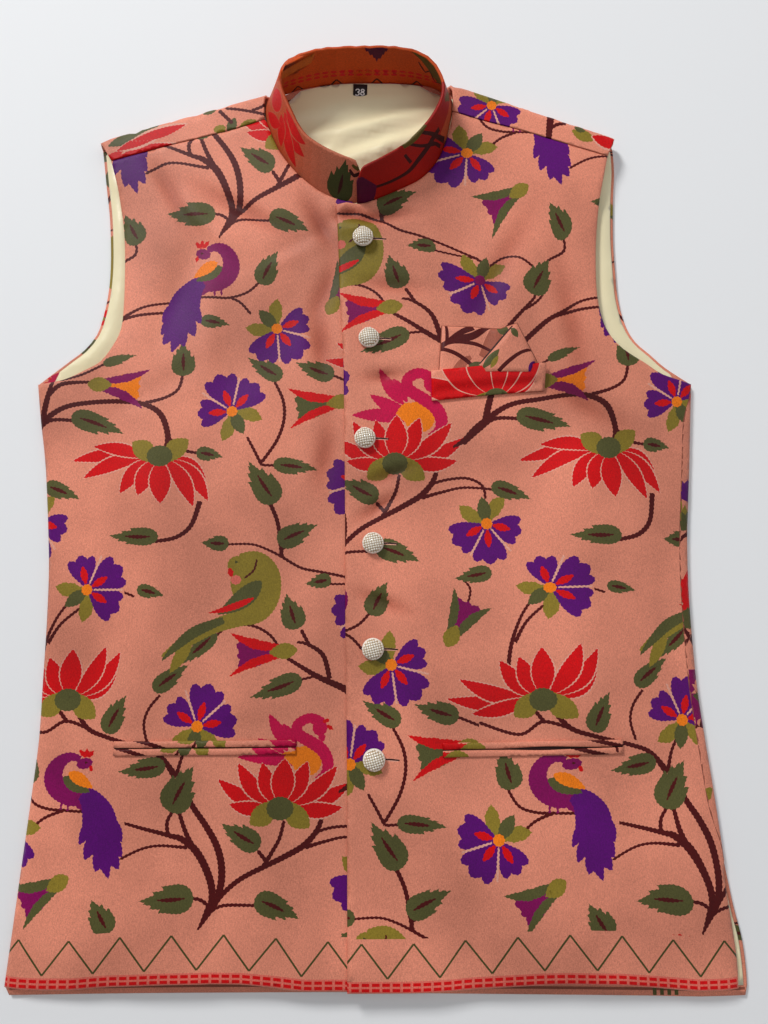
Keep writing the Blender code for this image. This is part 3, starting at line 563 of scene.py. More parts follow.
def woven(name, attribute="thread"):
    """Brocade: silk over cotton, with a soft satin sheen, fine upright streaks, a grain of threads, and
    painted light and shade in soft patches.
    """
    made, tree, shader = finish_named(name)
    place = node(tree, "ShaderNodeTexCoord").outputs["Object"]
    colour = node(tree, "ShaderNodeAttribute", attribute_name=attribute).outputs["Color"]
    upright = node(tree, "ShaderNodeMapping", {"Vector": place}, {"Scale": (2000, 520, 2000)})
    streak = node(tree, "ShaderNodeTexNoise", {"Vector": upright.outputs["Vector"]},
                  {"Scale": 1.0, "Detail": 3.0})
    level = node(tree, "ShaderNodeMapping", {"Vector": place}, {"Scale": (900, 2600, 900)})
    weft = node(tree, "ShaderNodeTexNoise", {"Vector": level.outputs["Vector"]},
                {"Scale": 1.0, "Detail": 2.0})
    cloud = node(tree, "ShaderNodeTexNoise", {"Vector": place}, {"Scale": 11.0, "Detail": 3.0})
    grain = node(tree, "ShaderNodeMath", {0: streak.outputs["Fac"], 1: weft.outputs["Fac"]}, operation="ADD")
    shade = node(tree, "ShaderNodeMapRange", {"Value": grain.outputs[0]},
                 {"From Min": 0.65, "From Max": 1.35, "To Min": 0.72, "To Max": 1.25})
    mixed = node(tree, "ShaderNodeVectorMath", {0: colour}, operation="SCALE")
    tree.links.new(shade.outputs[0], mixed.inputs["Scale"])
    # Large soft patches, lighter and darker, scale the colour: painted light and shade over the cloth.
    painted_light_patches = node(tree, "ShaderNodeMapRange", {"Value": cloud.outputs["Fac"]},
                {"From Min": 0.36, "From Max": 0.64, "To Min": 0.76, "To Max": 1.10})
    last = node(tree, "ShaderNodeVectorMath", {0: mixed.outputs[0]}, operation="SCALE")
    tree.links.new(painted_light_patches.outputs[0], last.inputs["Scale"])
    tree.links.new(last.outputs[0], shader.inputs["Base Color"])
    bump = node(tree, "ShaderNodeBump", {"Height": grain.outputs[0]},
                {"Strength": 0.35, "Distance": 0.0004})
    tree.links.new(bump.outputs[0], shader.inputs["Normal"])
    shader.inputs["Roughness"].default_value = 0.5
    shader.inputs["Specular IOR Level"].default_value = 0.2
    shader.inputs["Sheen Weight"].default_value = 0.02
    shader.inputs["Sheen Roughness"].default_value = 0.4
    return made


def satin(name, colour, with_painted_shade):
    """Polyester satin: smooth and shiny, with a faint bloom, fine wrinkles that catch the light and soft
    patches of painted shade in its colour.
    """
    made, tree, shader = finish_named(name)
    place = node(tree, "ShaderNodeTexCoord").outputs["Object"]
    cloud = node(tree, "ShaderNodeTexNoise", {"Vector": place}, {"Scale": 22.0, "Detail": 3.0})
    # The colour is mixed in soft patches with a darker copy of it: painted shade.
    mix = node(tree, "ShaderNodeMix", {"Factor": cloud.outputs["Fac"]}, data_type="RGBA")
    mix.inputs["A"].default_value, mix.inputs["B"].default_value = tint(with_painted_shade), tint(colour)
    tree.links.new(mix.outputs["Result"], shader.inputs["Base Color"])
    wave = node(tree, "ShaderNodeTexNoise", {"Vector": place}, {"Scale": 90.0, "Detail": 3.0})
    bump = node(tree, "ShaderNodeBump", {"Height": wave.outputs["Fac"]},
                {"Strength": 0.25, "Distance": 0.001})
    tree.links.new(bump.outputs[0], shader.inputs["Normal"])
    shader.inputs["Roughness"].default_value = 0.28
    shader.inputs["Sheen Weight"].default_value = 0.2
    return made


brocade = woven("silk_brocade")
# The second colour of the cream satin is its painted shade.
lining_satin = satin("lining_satin_cream", "#F4E9C2", "#E4D6AC")


# The fronts: two panels of the brocade, lined and pressed, each cut so that its own part of the tree shows.
# They are sewn to the back at the sides, and the one at the picture's right laps over the other.
LEFT_SIDE = (
    (-255.7, -355.2), (-253.0, -324.3), (-249.1, -278.3), (-245.1, -231.1), (-242.0, -189.8),
    (-241.7, -147.6), (-241.5, -104.5), (-242.7, -60.5), (-249.1, 7.4), (-255.3, 46.1), (-259.2, 74.6),
)
RIGHT_SIDE = (
    (246.0, -271.6), (242.1, -231.1), (237.4, -189.8), (233.3, -147.6), (231.4, -90.0),
    (232.4, -45.6), (236.8, 7.4), (242.0, 75.0),
)
RIGHT_EDGE = ((250.0, -356.0), (248.2, -317.4)) + RIGHT_SIDE
FRONT_LEFT_ARMHOLE = (
    (-259.2, 74.2), (-239.0, 76.9), (-220.5, 84.8), (-209.4, 91.1), (-200.9, 103.0), (-195.4, 116.9),
    (-194.2, 139.0), (-195.0, 171.5), (-196.9, 196.3), (-200.3, 217.1), (-203.4, 233.9), (-209.0, 254.3),
)
FRONT_RIGHT_ARMHOLE = (
    (242.0, 74.6), (219.4, 81.2), (206.3, 89.5), (193.5, 97.4), (184.6, 105.0), (176.7, 116.9),
    (172.1, 134.9), (170.6, 155.2), (171.8, 188.0), (175.5, 221.3), (180.4, 246.9), (183.0, 258.5),
)
FRONT_VENT = (
    (250.0, -355.2), (249.8, -336.8), (248.2, -317.4), (246.0, -297.8), (244.6, -282.0), (246.0, -271.6),
)
RIGHT_FRONT_HEM = (
    (-255.7, -355.2), (-228.9, -355.8), (-208.4, -355.2), (-181.2, -352.6), (-147.1, -350.7),
    (-119.7, -350.1), (-92.3, -350.3), (-70.6, -352.6), (-48.0, -355.2), (19.3, -355.4),
)
LEFT_FRONT_HEM = (
    (-18.7, -355.8), (17.2, -355.8), (51.4, -355.2), (85.7, -352.6), (113.1, -350.7), (133.7, -350.1),
    (167.9, -350.7), (195.1, -353.3), (222.4, -355.8), (250.0, -355.2),
)
PLACKET_EDGE = (
    (-30.9, 216.2), (-29.3, 187.0), (-27.4, 138.1), (-24.8, 98.3), (-23.8, 59.2), (-22.5, -16.9),
    (-21.9, -90.2), (-20.7, -160.9), (-19.6, -229.2), (-19.1, -295.1), (-18.7, -355.8),
)
LAPPED_CORNER = ((-14.6, 216.9), (-23.0, 218.2), (-30.9, 216.2))
LEFT_SHOULDER_SEAM = (
    (-209.0, 254.3), (-194.0, 258.7), (-166.8, 266.8), (-139.3, 274.1), (-107.9, 283.2), (-88.7, 290.3),
)
RIGHT_SHOULDER_SEAM = (
    (60.7, 297.3), (82.5, 289.8), (114.1, 280.9), (145.5, 270.7), (183.0, 258.5),
)
# Neck edges of the two fronts, outside the foot of the collar.
LEFT_NECK = (
    (-88.0, 290.5), (-80.6, 271.2), (-72.4, 256.4), (-60.2, 241.9), (-44.1, 228.8), (-28.4, 221.5),
    (-19.0, 220.1),
)
RIGHT_NECK = (
    (61.0, 296.2), (59.4, 287.2), (55.3, 271.2), (48.2, 254.0), (35.1, 238.7), (19.2, 229.2), (1.9, 221.3),
    (-8.8, 217.5),
)
SIDE_EDGE_TOP, EDGE_TURN, HIP_TOP, CHEST_RISE = 4.3, 3.2, 11.2, 1.8
VENT_LIFT, ARMHOLE_DIP, LAPPED_LIFT, UNDERLAP = 2.0, 2.5, 2.35, 38.0
HEM_WAVES, HEM_WAVE_WIDTH = ((-128, 1.9), (138, 1.9), (30, -0.8), (-215, -0.5)), 52
FOLDS = (
    # x, y, angle, half length, half width, depth: the large folds of the solid
    (-190, -300, 92, 70, 15, 1.0), (-62, -305, 84, 60, 17, 0.8), (62, -300, 95, 80, 16, 0.9),
    (188, -285, 98, 80, 15, 0.9), (131, 28, 36, 60, 15, 0.8), (-203, 0, 66, 70, 16, 1.0),
    (200, 5, 112, 70, 16, 1.0), (-62, 200, 58, 30, 12, 0.7), (112, 212, 122, 42, 13, 0.7),
    (-118, -70, 82, 95, 22, 0.7), (118, -80, 99, 95, 22, 0.6), (-140, 130, 128, 55, 16, 0.7),
)
CREASES = (
    # x, y, angle, half length, half width, depth: the smaller ones, a minus depth for a ridge
    (-22, 210, 10, 12, 4, 3.4), (-8, 205, -14, 16, 3.6, 3.0), (8, 208, 6, 18, 4, 2.6),
    (-44, 202, 118, 22, 6, 3.2), (-6, 197, 4, 20, 4, -2.0), (-40, 146, 70, 22, 7, 2.6),
    (-42, 104, 96, 22, 7, 3.2), (-38, 18, 84, 26, 7, 2.6), (-42, 160, 110, 26, 7, -0.9),
    (6, 78, 6, 14, 4, 2.8), (12, 150, -8, 20, 5, 2.2), (10, 2, 20, 18, 4, 2.6), (2, -22, 32, 16, 4, 2.8),
    (6, -92, -20, 18, 4, 2.4), (-105, 214, 152, 40, 6, 2.4), (-126, 196, 140, 44, 7, -2.0),
    (-160, 226, 120, 30, 6, 2.4), (96, 168, 60, 44, 8, 1.8), (150, 120, 100, 50, 8, 2.0),
    (154, 60, 150, 36, 8, 2.2), (-170, 66, 30, 40, 8, 1.0), (-214, -60, 84, 60, 8, 1.0),
    (-222, -210, 88, 70, 8, 0.9), (214, -110, 92, 60, 8, 0.9), (-90, -180, 12, 40, 7, 0.7),
    (90, -180, -10, 40, 7, 0.7), (20, -260, 84, 50, 8, 0.8), (-150, -260, 78, 50, 9, 0.9),
    (120, -300, 96, 40, 8, 0.9), (-110, -318, 88, 34, 8, 0.9), (-30, -300, 92, 44, 7, 0.8),
    (232, -300, 86, 30, 6, 0.7), (-70, 120, 62, 60, 20, 2.9), (-96, 34, 78, 66, 22, -2.7),
    (-58, -40, 96, 70, 18, 2.5), (-170, -20, 100, 60, 18, -2.5), (-150, 150, 70, 50, 14, 2.7),
    (-128, 100, 88, 46, 12, -2.2), (-198, -130, 80, 70, 20, 2.7), (-96, -130, 84, 60, 18, -2.2),
    (70, 190, 118, 46, 14, 2.7), (104, 130, 72, 50, 14, -2.5), (42, 40, 100, 60, 16, 2.2),
    (150, -10, 64, 60, 20, -2.7), (76, -30, 120, 60, 18, 2.5), (196, -60, 96, 70, 18, -2.5),
    (60, -130, 84, 60, 20, 2.7), (150, -150, 104, 60, 18, -2.5), (20, -180, 94, 56, 14, -0.9),
    (196, -220, 88, 60, 18, 1.1), (88, -260, 78, 50, 18, -1.1), (-210, -290, 100, 50, 16, -1.0),
    (-30, -120, 94, 50, 10, 0.9), (-50, 8, 60, 30, 7, -0.8), (-60, 186, 30, 30, 6, 1.2),
    (-66, 174, 26, 34, 6, -0.9), (30, 150, 168, 26, 5, 1.0), (34, 92, 20, 26, 5, -0.8),
    (24, -6, 160, 26, 5, 0.8),
)


def trough(points, fold_x, fold_y, angle, length, width):
    """Each point's share of a soft fold's full depth: 1 in its middle, fading along and across it."""
    away = points - (fold_x, fold_y)
    cos, sin = math.cos(math.radians(angle)), math.sin(math.radians(angle))
    along, across = away[:, 0] * cos + away[:, 1] * sin, away[:, 1] * cos - away[:, 0] * sin
    return np.exp(-((along / length) ** 2) - (across / width) ** 2)


def under_top(points):
    """Height of the outer face of the front that goes under: the solid's, with the small creases besides."""
    x, y = points.T
    side = np.where(x < 0, distance(points, LEFT_SIDE), distance(points, RIGHT_EDGE))
    full = HIP_TOP + CHEST_RISE * ramp(y, -260, 60)
    # The cloth turns up steeply at the side seam and then rises softly to its full height.
    height = SIDE_EDGE_TOP + EDGE_TURN * (1 - np.exp(-side / 6))
    height += (full - (SIDE_EDGE_TOP + EDGE_TURN)) * ramp(side, 0, 90)
    height += np.where(x > 0, VENT_LIFT * (1 - ramp(y, -300, -265)) * np.exp(-side / 40), 0)
    armhole = np.where(x < 0, distance(points, FRONT_LEFT_ARMHOLE), distance(points, FRONT_RIGHT_ARMHOLE))
    height -= ARMHOLE_DIP * np.exp(-armhole / 16) * ramp(y, 88, 130) * ramp(y, 245, 205)
    # The hem waves a little off the floor.
    for wave_x, lift in HEM_WAVES:
        wave = np.exp(-(((x - wave_x) / HEM_WAVE_WIDTH) ** 2))
        height += lift * wave * ramp(y, -230, -352) * ramp(side, 0, 40)
    for folds, low_edge, high_edge in ((FOLDS, 4, 34), (CREASES, 1, 12)):
        for *fold, depth in folds:
            height -= depth * trough(points, *fold) * ramp(side, low_edge, high_edge)
    return height


# A crease narrower and deeper than these is a pucker, and each millimetre of its depth darkens its colour so
# much, as painted shade.
PUCKER_WIDTH, PUCKER_DEPTH, PUCKER_SHADE = 8.5, 1.5, 0.16


def painted_pucker_shade(points):
    """Painted shade in the small puckers: a factor on the colour that darkens it there, as a shadow would."""
    factor = np.ones(len(points))
    for *place, width, depth in CREASES:
        if width < PUCKER_WIDTH and depth > PUCKER_DEPTH:
            factor *= 1 - PUCKER_SHADE * depth * trough(points, *place, width + 1)
    return factor


def placket_x(y):
    """Where the edge of the lapping front lies at a height up the jacket."""
    edge = np.array(PLACKET_EDGE)[::-1]
    return np.interp(y, edge[:, 1], edge[:, 0])


def lapped_top(points):
    """Height of the outer face of the front that laps over: it rests on the other at the placket."""
    return under_top(points) + LAPPED_LIFT * ramp(points[:, 0] - placket_x(points[:, 1]), 86, 44)


def front_top(x, y):
    """Height of the topmost front at one place."""
    place = np.array([(x, y)], float)
    return float((lapped_top if x > placket_x(y) else under_top)(place)[0])


# The trees stop this far above the hem, where the plain ground of the woven border begins.
CUT_ABOVE_HEM = 35.0
ZIGZAG_STEP, ZIGZAG_LOW, ZIGZAG_HIGH = 35.7, 9.6, 31.8
DASH, DASH_STEP, DASH_ROWS = (5.2, 2.1), 7.0, (2.3, 5.7)


def border_marks(hem, first_x, last_x, peak_x):
    """The woven border that follows the hem: a zigzag line, and two rows of red dashes on a rose stripe."""
    hem = np.array(hem)

    def above(x, rise):
        return float(np.interp(x, hem[:, 0], hem[:, 1])) + rise

    xs = np.arange(first_x, last_x, 4.0)
    stripe = [(x, above(x, 0.4)) for x in xs] + [(x, above(x, 7.9)) for x in xs[::-1]]
    marks = [("rose", stripe)]
    for k in range(-16, 17):
        x = peak_x + k * ZIGZAG_STEP
        if first_x - ZIGZAG_STEP < x < last_x + ZIGZAG_STEP:
            for to in (-0.5, 0.5):
                valley = x + to * ZIGZAG_STEP
                line = [(x, above(x, ZIGZAG_HIGH), 1.3), (valley, above(valley, ZIGZAG_LOW), 1.3)]
                marks.append(("vine", ribbon(line, 4.0)))
    for rise in DASH_ROWS:
        x = first_x + 1.0
        while x < last_x - 4:
            row = above(x, rise)
            after = above(x + DASH[0], rise)
            marks.append(("red", [(x, row - DASH[1] / 2), (x + DASH[0], after - DASH[1] / 2),
                                  (x + DASH[0], after + DASH[1] / 2), (x, row + DASH[1] / 2)]))
            x += DASH_STEP
    return marks


def pulled_under(points):
    """The front that goes under is pulled up a little towards its shoulder seam."""
    x, y = points.T
    up = 4 * ramp(y, 150, 190) + 7 * ramp(y, 212, 250) + 5 * ramp(y, 185, 225) * ramp(x, -130, -170)
    return points + np.stack([-4 * ramp(y, 200, 240) * ramp(x, -120, -170), up], 1)


def pulled_over(points):
    """The front that laps over is pulled a little out of true towards its armhole and its collar."""
    x, y = points.T
    high, low = ramp(y, 0, 100), ramp(y, 0, -60)
    over = 10 * ramp(x, 15, 75) * high - 2.5 * ramp(y, 100, 180) * ramp(x, 110, 150)
    over += 3 * ramp(x, 20, 70) * (1 - high)
    over += 5 * ramp(x, 115, 150) * low * (1 - ramp(y, -220, -280))
    over -= 3 * ramp(y, -240, -280) * ramp(x, 120, 150) * ramp(x, 225, 205)
    up = 10 * np.maximum(ramp(x, 70, 20) * ramp(y, 20, 110), ramp(y, 175, 210))
    up += 5 * ramp(y, -40, -110) * (1 - ramp(x, 190, 225) * ramp(y, -240, -300))
    up += 4 * ramp(x, 110, 150) * ramp(y, 130, 90) * ramp(y, -60, -10)
    return points + np.stack([over, up], 1)


# The side of the lapping front: a strip of the back's cloth comes round the edge and is sewn to it there.
# The strip's colours are darkened a little, as painted shade where the cloth turns down at the side.
SIDE_STRIP, STRIP_PAINTED_SHADE = 6.5, 0.92
side_seam = [(x - SIDE_STRIP * ramp(y, 74, 40) * ramp(y, -270, -230), y) for x, y in smooth(RIGHT_SIDE, 8)]
strip_shape = side_seam + [(x + 4, y) for x, y in smooth(RIGHT_SIDE, 8)[::-1]]
BUTTONS = ((-9.9, 187.6), (-5.1, 107.0), (-7.8, 29.4), (-1.7, -49.0), (-1.6, -125.1), (-0.7, -201.9))
POCKETS = {
    # left_x, left_y of the middle line, right_x, right_y
    "right": (-185.6, -194.9, -56.1, -193.6),
    "left": (47.9, -195.9, 175.8, -193.3),
}


def sewing_marks(name):
    """The pocket mouth painted dark as shade in the opening, and on the lapping front the buttonholes, their
    slits painted dark as shade, and the side seam.
    """
    left_x, left_y, right_x, right_y = POCKETS[name]
    # The dark strip along the pocket's middle line is painted shade in its opening.
    marks = [("mouth", ribbon([(left_x, left_y, 2.4), ((left_x + right_x) / 2, (left_y + right_y) / 2, 4.4),
                               (right_x, right_y, 2.4)]))]
    if name == "left":
        for x, y in BUTTONS:
            marks += [("pale", ribbon([(x + 7, y, 1.9), (x + 17, y - 0.6, 1.7)])),
                      # A pale worked edge, and inside it the slit painted dark as shade.
                      ("mouth", ribbon([(x + 6, y, 0.9), (x + 12, y, 1.2), (x + 18, y - 0.6, 0.9)]))]
        marks.append(("seam", ribbon([(x, y, 1.2) for x, y in side_seam], 8.0)))
    return marks


def brocade_panel(name, outline, hem, foot, turn, stretch, peak_x, spacing, pull):
    """One panel, cut from the patterned cloth: its flat points, faces and a colour for each face."""
    outline = np.array(outline)
    low, high = outline.min(0), outline.max(0)
    tree = pattern(foot, turn, stretch, low, high, pull)
    border = border_marks(hem, low[0], high[0], peak_x)
    cut = [(x, float(np.interp(x, *np.array(hem).T)) + CUT_ABOVE_HEM)
           for x in np.arange(low[0] - 5, high[0] + 6, 6.0)]
    apron = ("ground", cut + [(high[0] + 5, low[1] - 5), (low[0] - 5, low[1] - 5)])
    marks = tree + [apron] + border + sewing_marks(name)
    points, faces, on_top = cut_cloth(outline, marks, spacing)
    colours = thread_colours(marks, on_top)
    if name == "left":
        strip_low, strip_high = np.min(strip_shape, 0), np.max(strip_shape, 0)
        other = pattern((foot[0] + 108, foot[1] + 62), 0.0, 1.0, strip_low, strip_high)
        middle = points[faces].mean(1)
        inside = np.flatnonzero(within(middle, np.array(strip_shape)))
        # Painted shade: the strip's colours darkened where it turns down.
        colours[inside] = thread_colours(other, mark_on_top(middle[inside], other)) * STRIP_PAINTED_SHADE
    return points, faces, colours


def turned_edge(points, outline, reach=1.9, drop=0.9):
    """How much the cloth falls at its pressed edge, where it turns under."""
    ring = list(outline) + [outline[0]]
    return drop * (1 - np.clip(distance(points, ring) / reach, 0, 1)) ** 2


FRONT_CLOTH, PATTERN_SPACING = 2.0, 4.6
right_outline = (
    smooth(LEFT_SIDE, 8)[:-1] + smooth(FRONT_LEFT_ARMHOLE, 5)[:-1]
    + [(x, y - 0.2) for x, y in smooth(LEFT_SHOULDER_SEAM, 8)] + smooth(LEFT_NECK, 5)[1:]
    + [(-15.4, 216.4), (7.5, 214.5)]
    + [(x + UNDERLAP, y) for x, y in smooth(PLACKET_EDGE, 22)[2:-1]]
    + smooth(RIGHT_FRONT_HEM[::-1], 8)[:-1]
)[::-1]
left_outline = (
    smooth(LEFT_FRONT_HEM, 8)[:-1] + smooth(FRONT_VENT, 6)[:-1] + smooth(RIGHT_SIDE, 8)[:-1]
    + smooth(FRONT_RIGHT_ARMHOLE, 5)[:-1]
    + [(x, y - 0.2) for x, y in smooth(RIGHT_SHOULDER_SEAM[::-1], 8)] + smooth(RIGHT_NECK, 5)[1:]
    + list(LAPPED_CORNER)[:-1] + smooth(PLACKET_EDGE, 12)[:-1]
)
TREE_ON = {
    # foot of the tree on that front, its turn, its stretch up the cloth
    "right": ((-117.7, -313.6), 0.0, 1.0),
    "left": ((226.7, -317.4), 2.3, 1.025),
}
# The painted shade in a pucker is warm: red falls least in it and blue most.
WARM_SHADE = (0.8, 1.3, 1.45, 1.0)
for name, outline, hem, peak_x, top, area, pull in (
    ("right", right_outline, RIGHT_FRONT_HEM, -175.0, under_top, 0.150, pulled_under),
    ("left", left_outline, LEFT_FRONT_HEM, 98.0, lapped_top, 0.146, pulled_over),
):
    flat_points, faces, colours = brocade_panel(name, outline, hem, *TREE_ON[name], peak_x,
                                                PATTERN_SPACING, pull)
    heights = top(flat_points) - turned_edge(flat_points, outline)
    points = np.column_stack([flat_points, heights])
    # The thread colours, darkened by painted shade in the small puckers.
    with_painted_shade = np.repeat(colours, 3, 0) * painted_pucker_shade(flat_points)[faces.ravel(), None] ** WARM_SHADE
    panel = sewn(f"front_{name}_panel", points, faces, FRONT_CLOTH, [brocade, lining_satin],
                 {"thread": with_painted_shade}, inner=1)
    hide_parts(f"front_{name}")


# The back: one piece of the same cloth, flat underneath. It comes forward over both shoulders in a soft
# roll and meets the fronts at the shoulder seams. Its outline is drawn unrolled, seen from inside.
BACK_LEFT_ARMHOLE = (
    (-259.2, 74.6), (-234.9, 94.6), (-225.3, 102.6), (-216.6, 114.7), (-212.0, 131.0),
    (-209.1, 151.5), (-208.8, 176.4), (-211.2, 210.0), (-214.9, 235.6), (-218.9, 264.0),
)
BACK_RIGHT_ARMHOLE = (
    (242.0, 75.0), (223.2, 88.1), (212.1, 98.6), (201.0, 109.1), (193.8, 122.9),
    (189.2, 143.3), (187.9, 168.1), (187.4, 193.2), (188.8, 227.1), (190.6, 250.0), (190.2, 267.5),
)
BACK_VENT = (
    (246.0, -271.6), (251.0, -302.4), (255.3, -322.1), (257.0, -338.4), (257.3, -354.6), (255.8, -361.0),
)
BACK_HEM = (
    (-252.6, -361.0), (-155.3, -359.7), (-20.6, -359.1), (17.4, -359.7), (86.4, -360.3),
    (189.9, -361.3), (224.4, -361.9), (255.8, -361.0),
)
BACK_NECK = (
    (-82.0, 315.9), (-76.0, 317.9), (-62.0, 323.2), (-45.7, 326.9), (-29.5, 329.3), (-13.2, 329.8),
    (3.0, 329.8), (19.3, 329.5), (35.5, 327.9), (46.0, 325.3), (53.0, 322.9),
)
BACK_CLOTH, ROLL, HEM_Y = 2.0, 6.5, -361
HALF = math.pi * ROLL / 2


def shoulder(fold, neck_full, neck_none):
    """A shoulder's fold line, and how far along it the roll is full and where it has gone."""
    (ax, ay), (bx, by) = fold
    length = math.hypot(bx - ax, by - ay)
    along = np.array([(bx - ax) / length, (by - ay) / length])
    out = np.array([-along[1], along[0]])
    return {"start": np.array([ax, ay]) - ROLL * out, "along": along, "out": out,
            "full": neck_full, "none": neck_none}


LEFT = shoulder(((-219.8, 273.0), (-87.2, 314.0)), 139.0, 155.0)
RIGHT = shoulder(((58.0, 323.7), (190.2, 275.6)), 0.0, -16.0)


def unrolled(side, a, d):
    """Unrolled place by the way along the fold and the way out from where the roll starts."""
    return tuple(side["start"] + a * side["along"] + d * side["out"])


def over_top(side, x, y):
    """Unrolled place of a point that lies on the front side of the shoulder."""
    away = np.array([x, y]) - side["start"]
    a, p = away @ side["along"], away @ side["out"]
    bend = ROLL * math.asin(min(p / ROLL, 1.0)) if p > 0 else p
    return unrolled(side, a, math.pi * ROLL - bend)


def back_place(points):
    """Where the points of the unrolled back end up."""
    placed = np.column_stack([points, np.zeros(len(points))])
    for side, mine in ((LEFT, points[:, 0] < -20), (RIGHT, points[:, 0] >= -20)):
        away = points - side["start"]
        a, d = away @ side["along"], away @ side["out"]
        share = ramp(a, side["none"], side["full"])
        turn = np.minimum(d / ROLL, math.pi)
        p = ROLL * np.sin(turn) - np.maximum(d - math.pi * ROLL, 0.0)
        rolled = side["start"] + a[:, None] * side["along"] + p[:, None] * side["out"]
        moves = mine & (d > 0) & (share > 0)
        placed[moves, :2] += (share[:, None] * (rolled - points))[moves]
        placed[moves, 2] = (share * ROLL * (1 - np.cos(turn)))[moves]
    return placed


def seam_part(side, seam):
    """The back's own edge along a shoulder seam, just clear of the front."""
    return [over_top(side, x, y + 0.2) for x, y in smooth(seam, 6)]


left_flap = (
    [unrolled(LEFT, -1.0, 0.35 * HALF), unrolled(LEFT, -0.4, HALF), unrolled(LEFT, 1.2, 1.8 * HALF)]
    + seam_part(LEFT, LEFT_SHOULDER_SEAM)
    + [over_top(LEFT, -89.2, 302.0), over_top(LEFT, -89.0, 309.0), unrolled(LEFT, 138.2, HALF)]
)
right_flap = (
    [unrolled(RIGHT, 1.6, HALF), over_top(RIGHT, 61.2, 316.0), over_top(RIGHT, 61.4, 307.0)]
    + seam_part(RIGHT, RIGHT_SHOULDER_SEAM)
    + [unrolled(RIGHT, 140.2, 1.8 * HALF), unrolled(RIGHT, 140.9, HALF), unrolled(RIGHT, 141.2, 0.35 * HALF)]
)
back_outline = np.array((
    smooth(LEFT_SIDE, 12)[:-1] + smooth(BACK_LEFT_ARMHOLE, 6) + left_flap + smooth(BACK_NECK, 6)
    + right_flap + smooth(BACK_RIGHT_ARMHOLE[::-1], 6)[:-1] + smooth(RIGHT_SIDE[::-1], 12)[:-1]
    + smooth(BACK_VENT, 6) + smooth(BACK_HEM[::-1], 20)[1:]
)[::-1])
BACK_FOOT = (81.0, -308.0)
low, high = back_outline.min(0), back_outline.max(0)
# The cloth faces down, so from inside its trees are seen the other way round. Every second point is
# enough there, because only the rolls over the shoulders show.
mirrored = pattern((-BACK_FOOT[0], BACK_FOOT[1]), 0.0, 1.0, (-high[0], low[1]), (-low[0], high[1]))
marks = [(colour, shape_points[::2] * (-1, 1)) for colour, shape_points in mirrored]
cut = [(low[0] - 5, HEM_Y + CUT_ABOVE_HEM), (high[0] + 5, HEM_Y + CUT_ABOVE_HEM)]
marks.append(("ground", cut + [(high[0] + 5, low[1] - 5), (low[0] - 5, low[1] - 5)]))
# A dark line just above the back's hem, where the front's hem edge lies over it: painted shadow.
marks.append(("seam", ribbon([(x, y + 4.4, 1.8) for x, y in BACK_HEM], 20)))
# Four green marks at the cloth's edge show below the lapping front.
marks += [("green", [(x, HEM_Y), (x + 2.6, HEM_Y), (x + 2.6, HEM_Y + 6), (x, HEM_Y + 6)])
          for x in (192, 197, 202, 207)]
LEFT_WRAP = [
    ("green", blade((-212, 266), (-172, 286), 13)),
    ("pale", blade((-207, 255), (-157, 269), 12)), ("red", blade((-206, 255), (-159, 268), 9.5, 0.04)),
    ("pale", blade((-206, 262), (-168, 277), 10)), ("red", blade((-205, 262), (-170, 276), 7.5, 0.06)),
    ("pale", blade((-194, 271), (-149, 286), 10)), ("red", blade((-193, 271), (-151, 285), 8.0, -0.04)),
    ("red", blade((-216, 250), (-200, 262), 8)),
    ("olive", oval(-124, 281, 10, 7, 16)), ("green", blade((-117, 277), (-112, 291), 8)),
    ("olive", blade((-109, 282), (-95, 289), 7)), ("green", blade((-138, 294), (-127, 298), 5)),
    ("maroon", ribbon([(-125, 297, 3), (-120, 292, 3), (-114, 286, 3)])),
    ("maroon", ribbon([(-120, 299, 2.4), (-107, 297.5, 2.4), (-90, 294, 2.6), (-80, 290, 2.6)])),
    ("maroon", ribbon([(-99, 297, 2.4), (-90, 301, 2.6), (-82, 309, 3)])),
]
RIGHT_WRAP = flower(92, 301.4, 252, 0.95) + [
    ("maroon", ribbon([(139, 292, 6), (138, 286, 5.5), (136, 268, 4.5)])),
    ("maroon", ribbon([(137, 281, 3), (144, 285, 3), (151, 286, 3)])),
    ("olive", blade((155, 280), (173, 271), 10)), ("green", blade((157, 283), (166, 279), 6)),
    ("pale", blade((170, 275), (195, 264), 13)), ("red", blade((171, 275), (194, 265), 10.5)),
]
for side, shapes in ((LEFT, LEFT_WRAP), (RIGHT, RIGHT_WRAP)):
    marks.append(("ground", [unrolled(side, a, d) for a, d in ((-18, 2), (160, 2), (160, 60), (-18, 60))]))
    marks += [(colour, [over_top(side, x, y) for x, y in toothed(list(points))]) for colour, points in shapes]
flat_points, faces, on_top = cut_cloth(back_outline, marks, spacing=8.0, edge_rows=(0.8,))
back = sewn("back_panel", back_place(flat_points), faces[:, ::-1], BACK_CLOTH, [brocade],
            {"thread": thread_colours(marks, on_top)})
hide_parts("back")

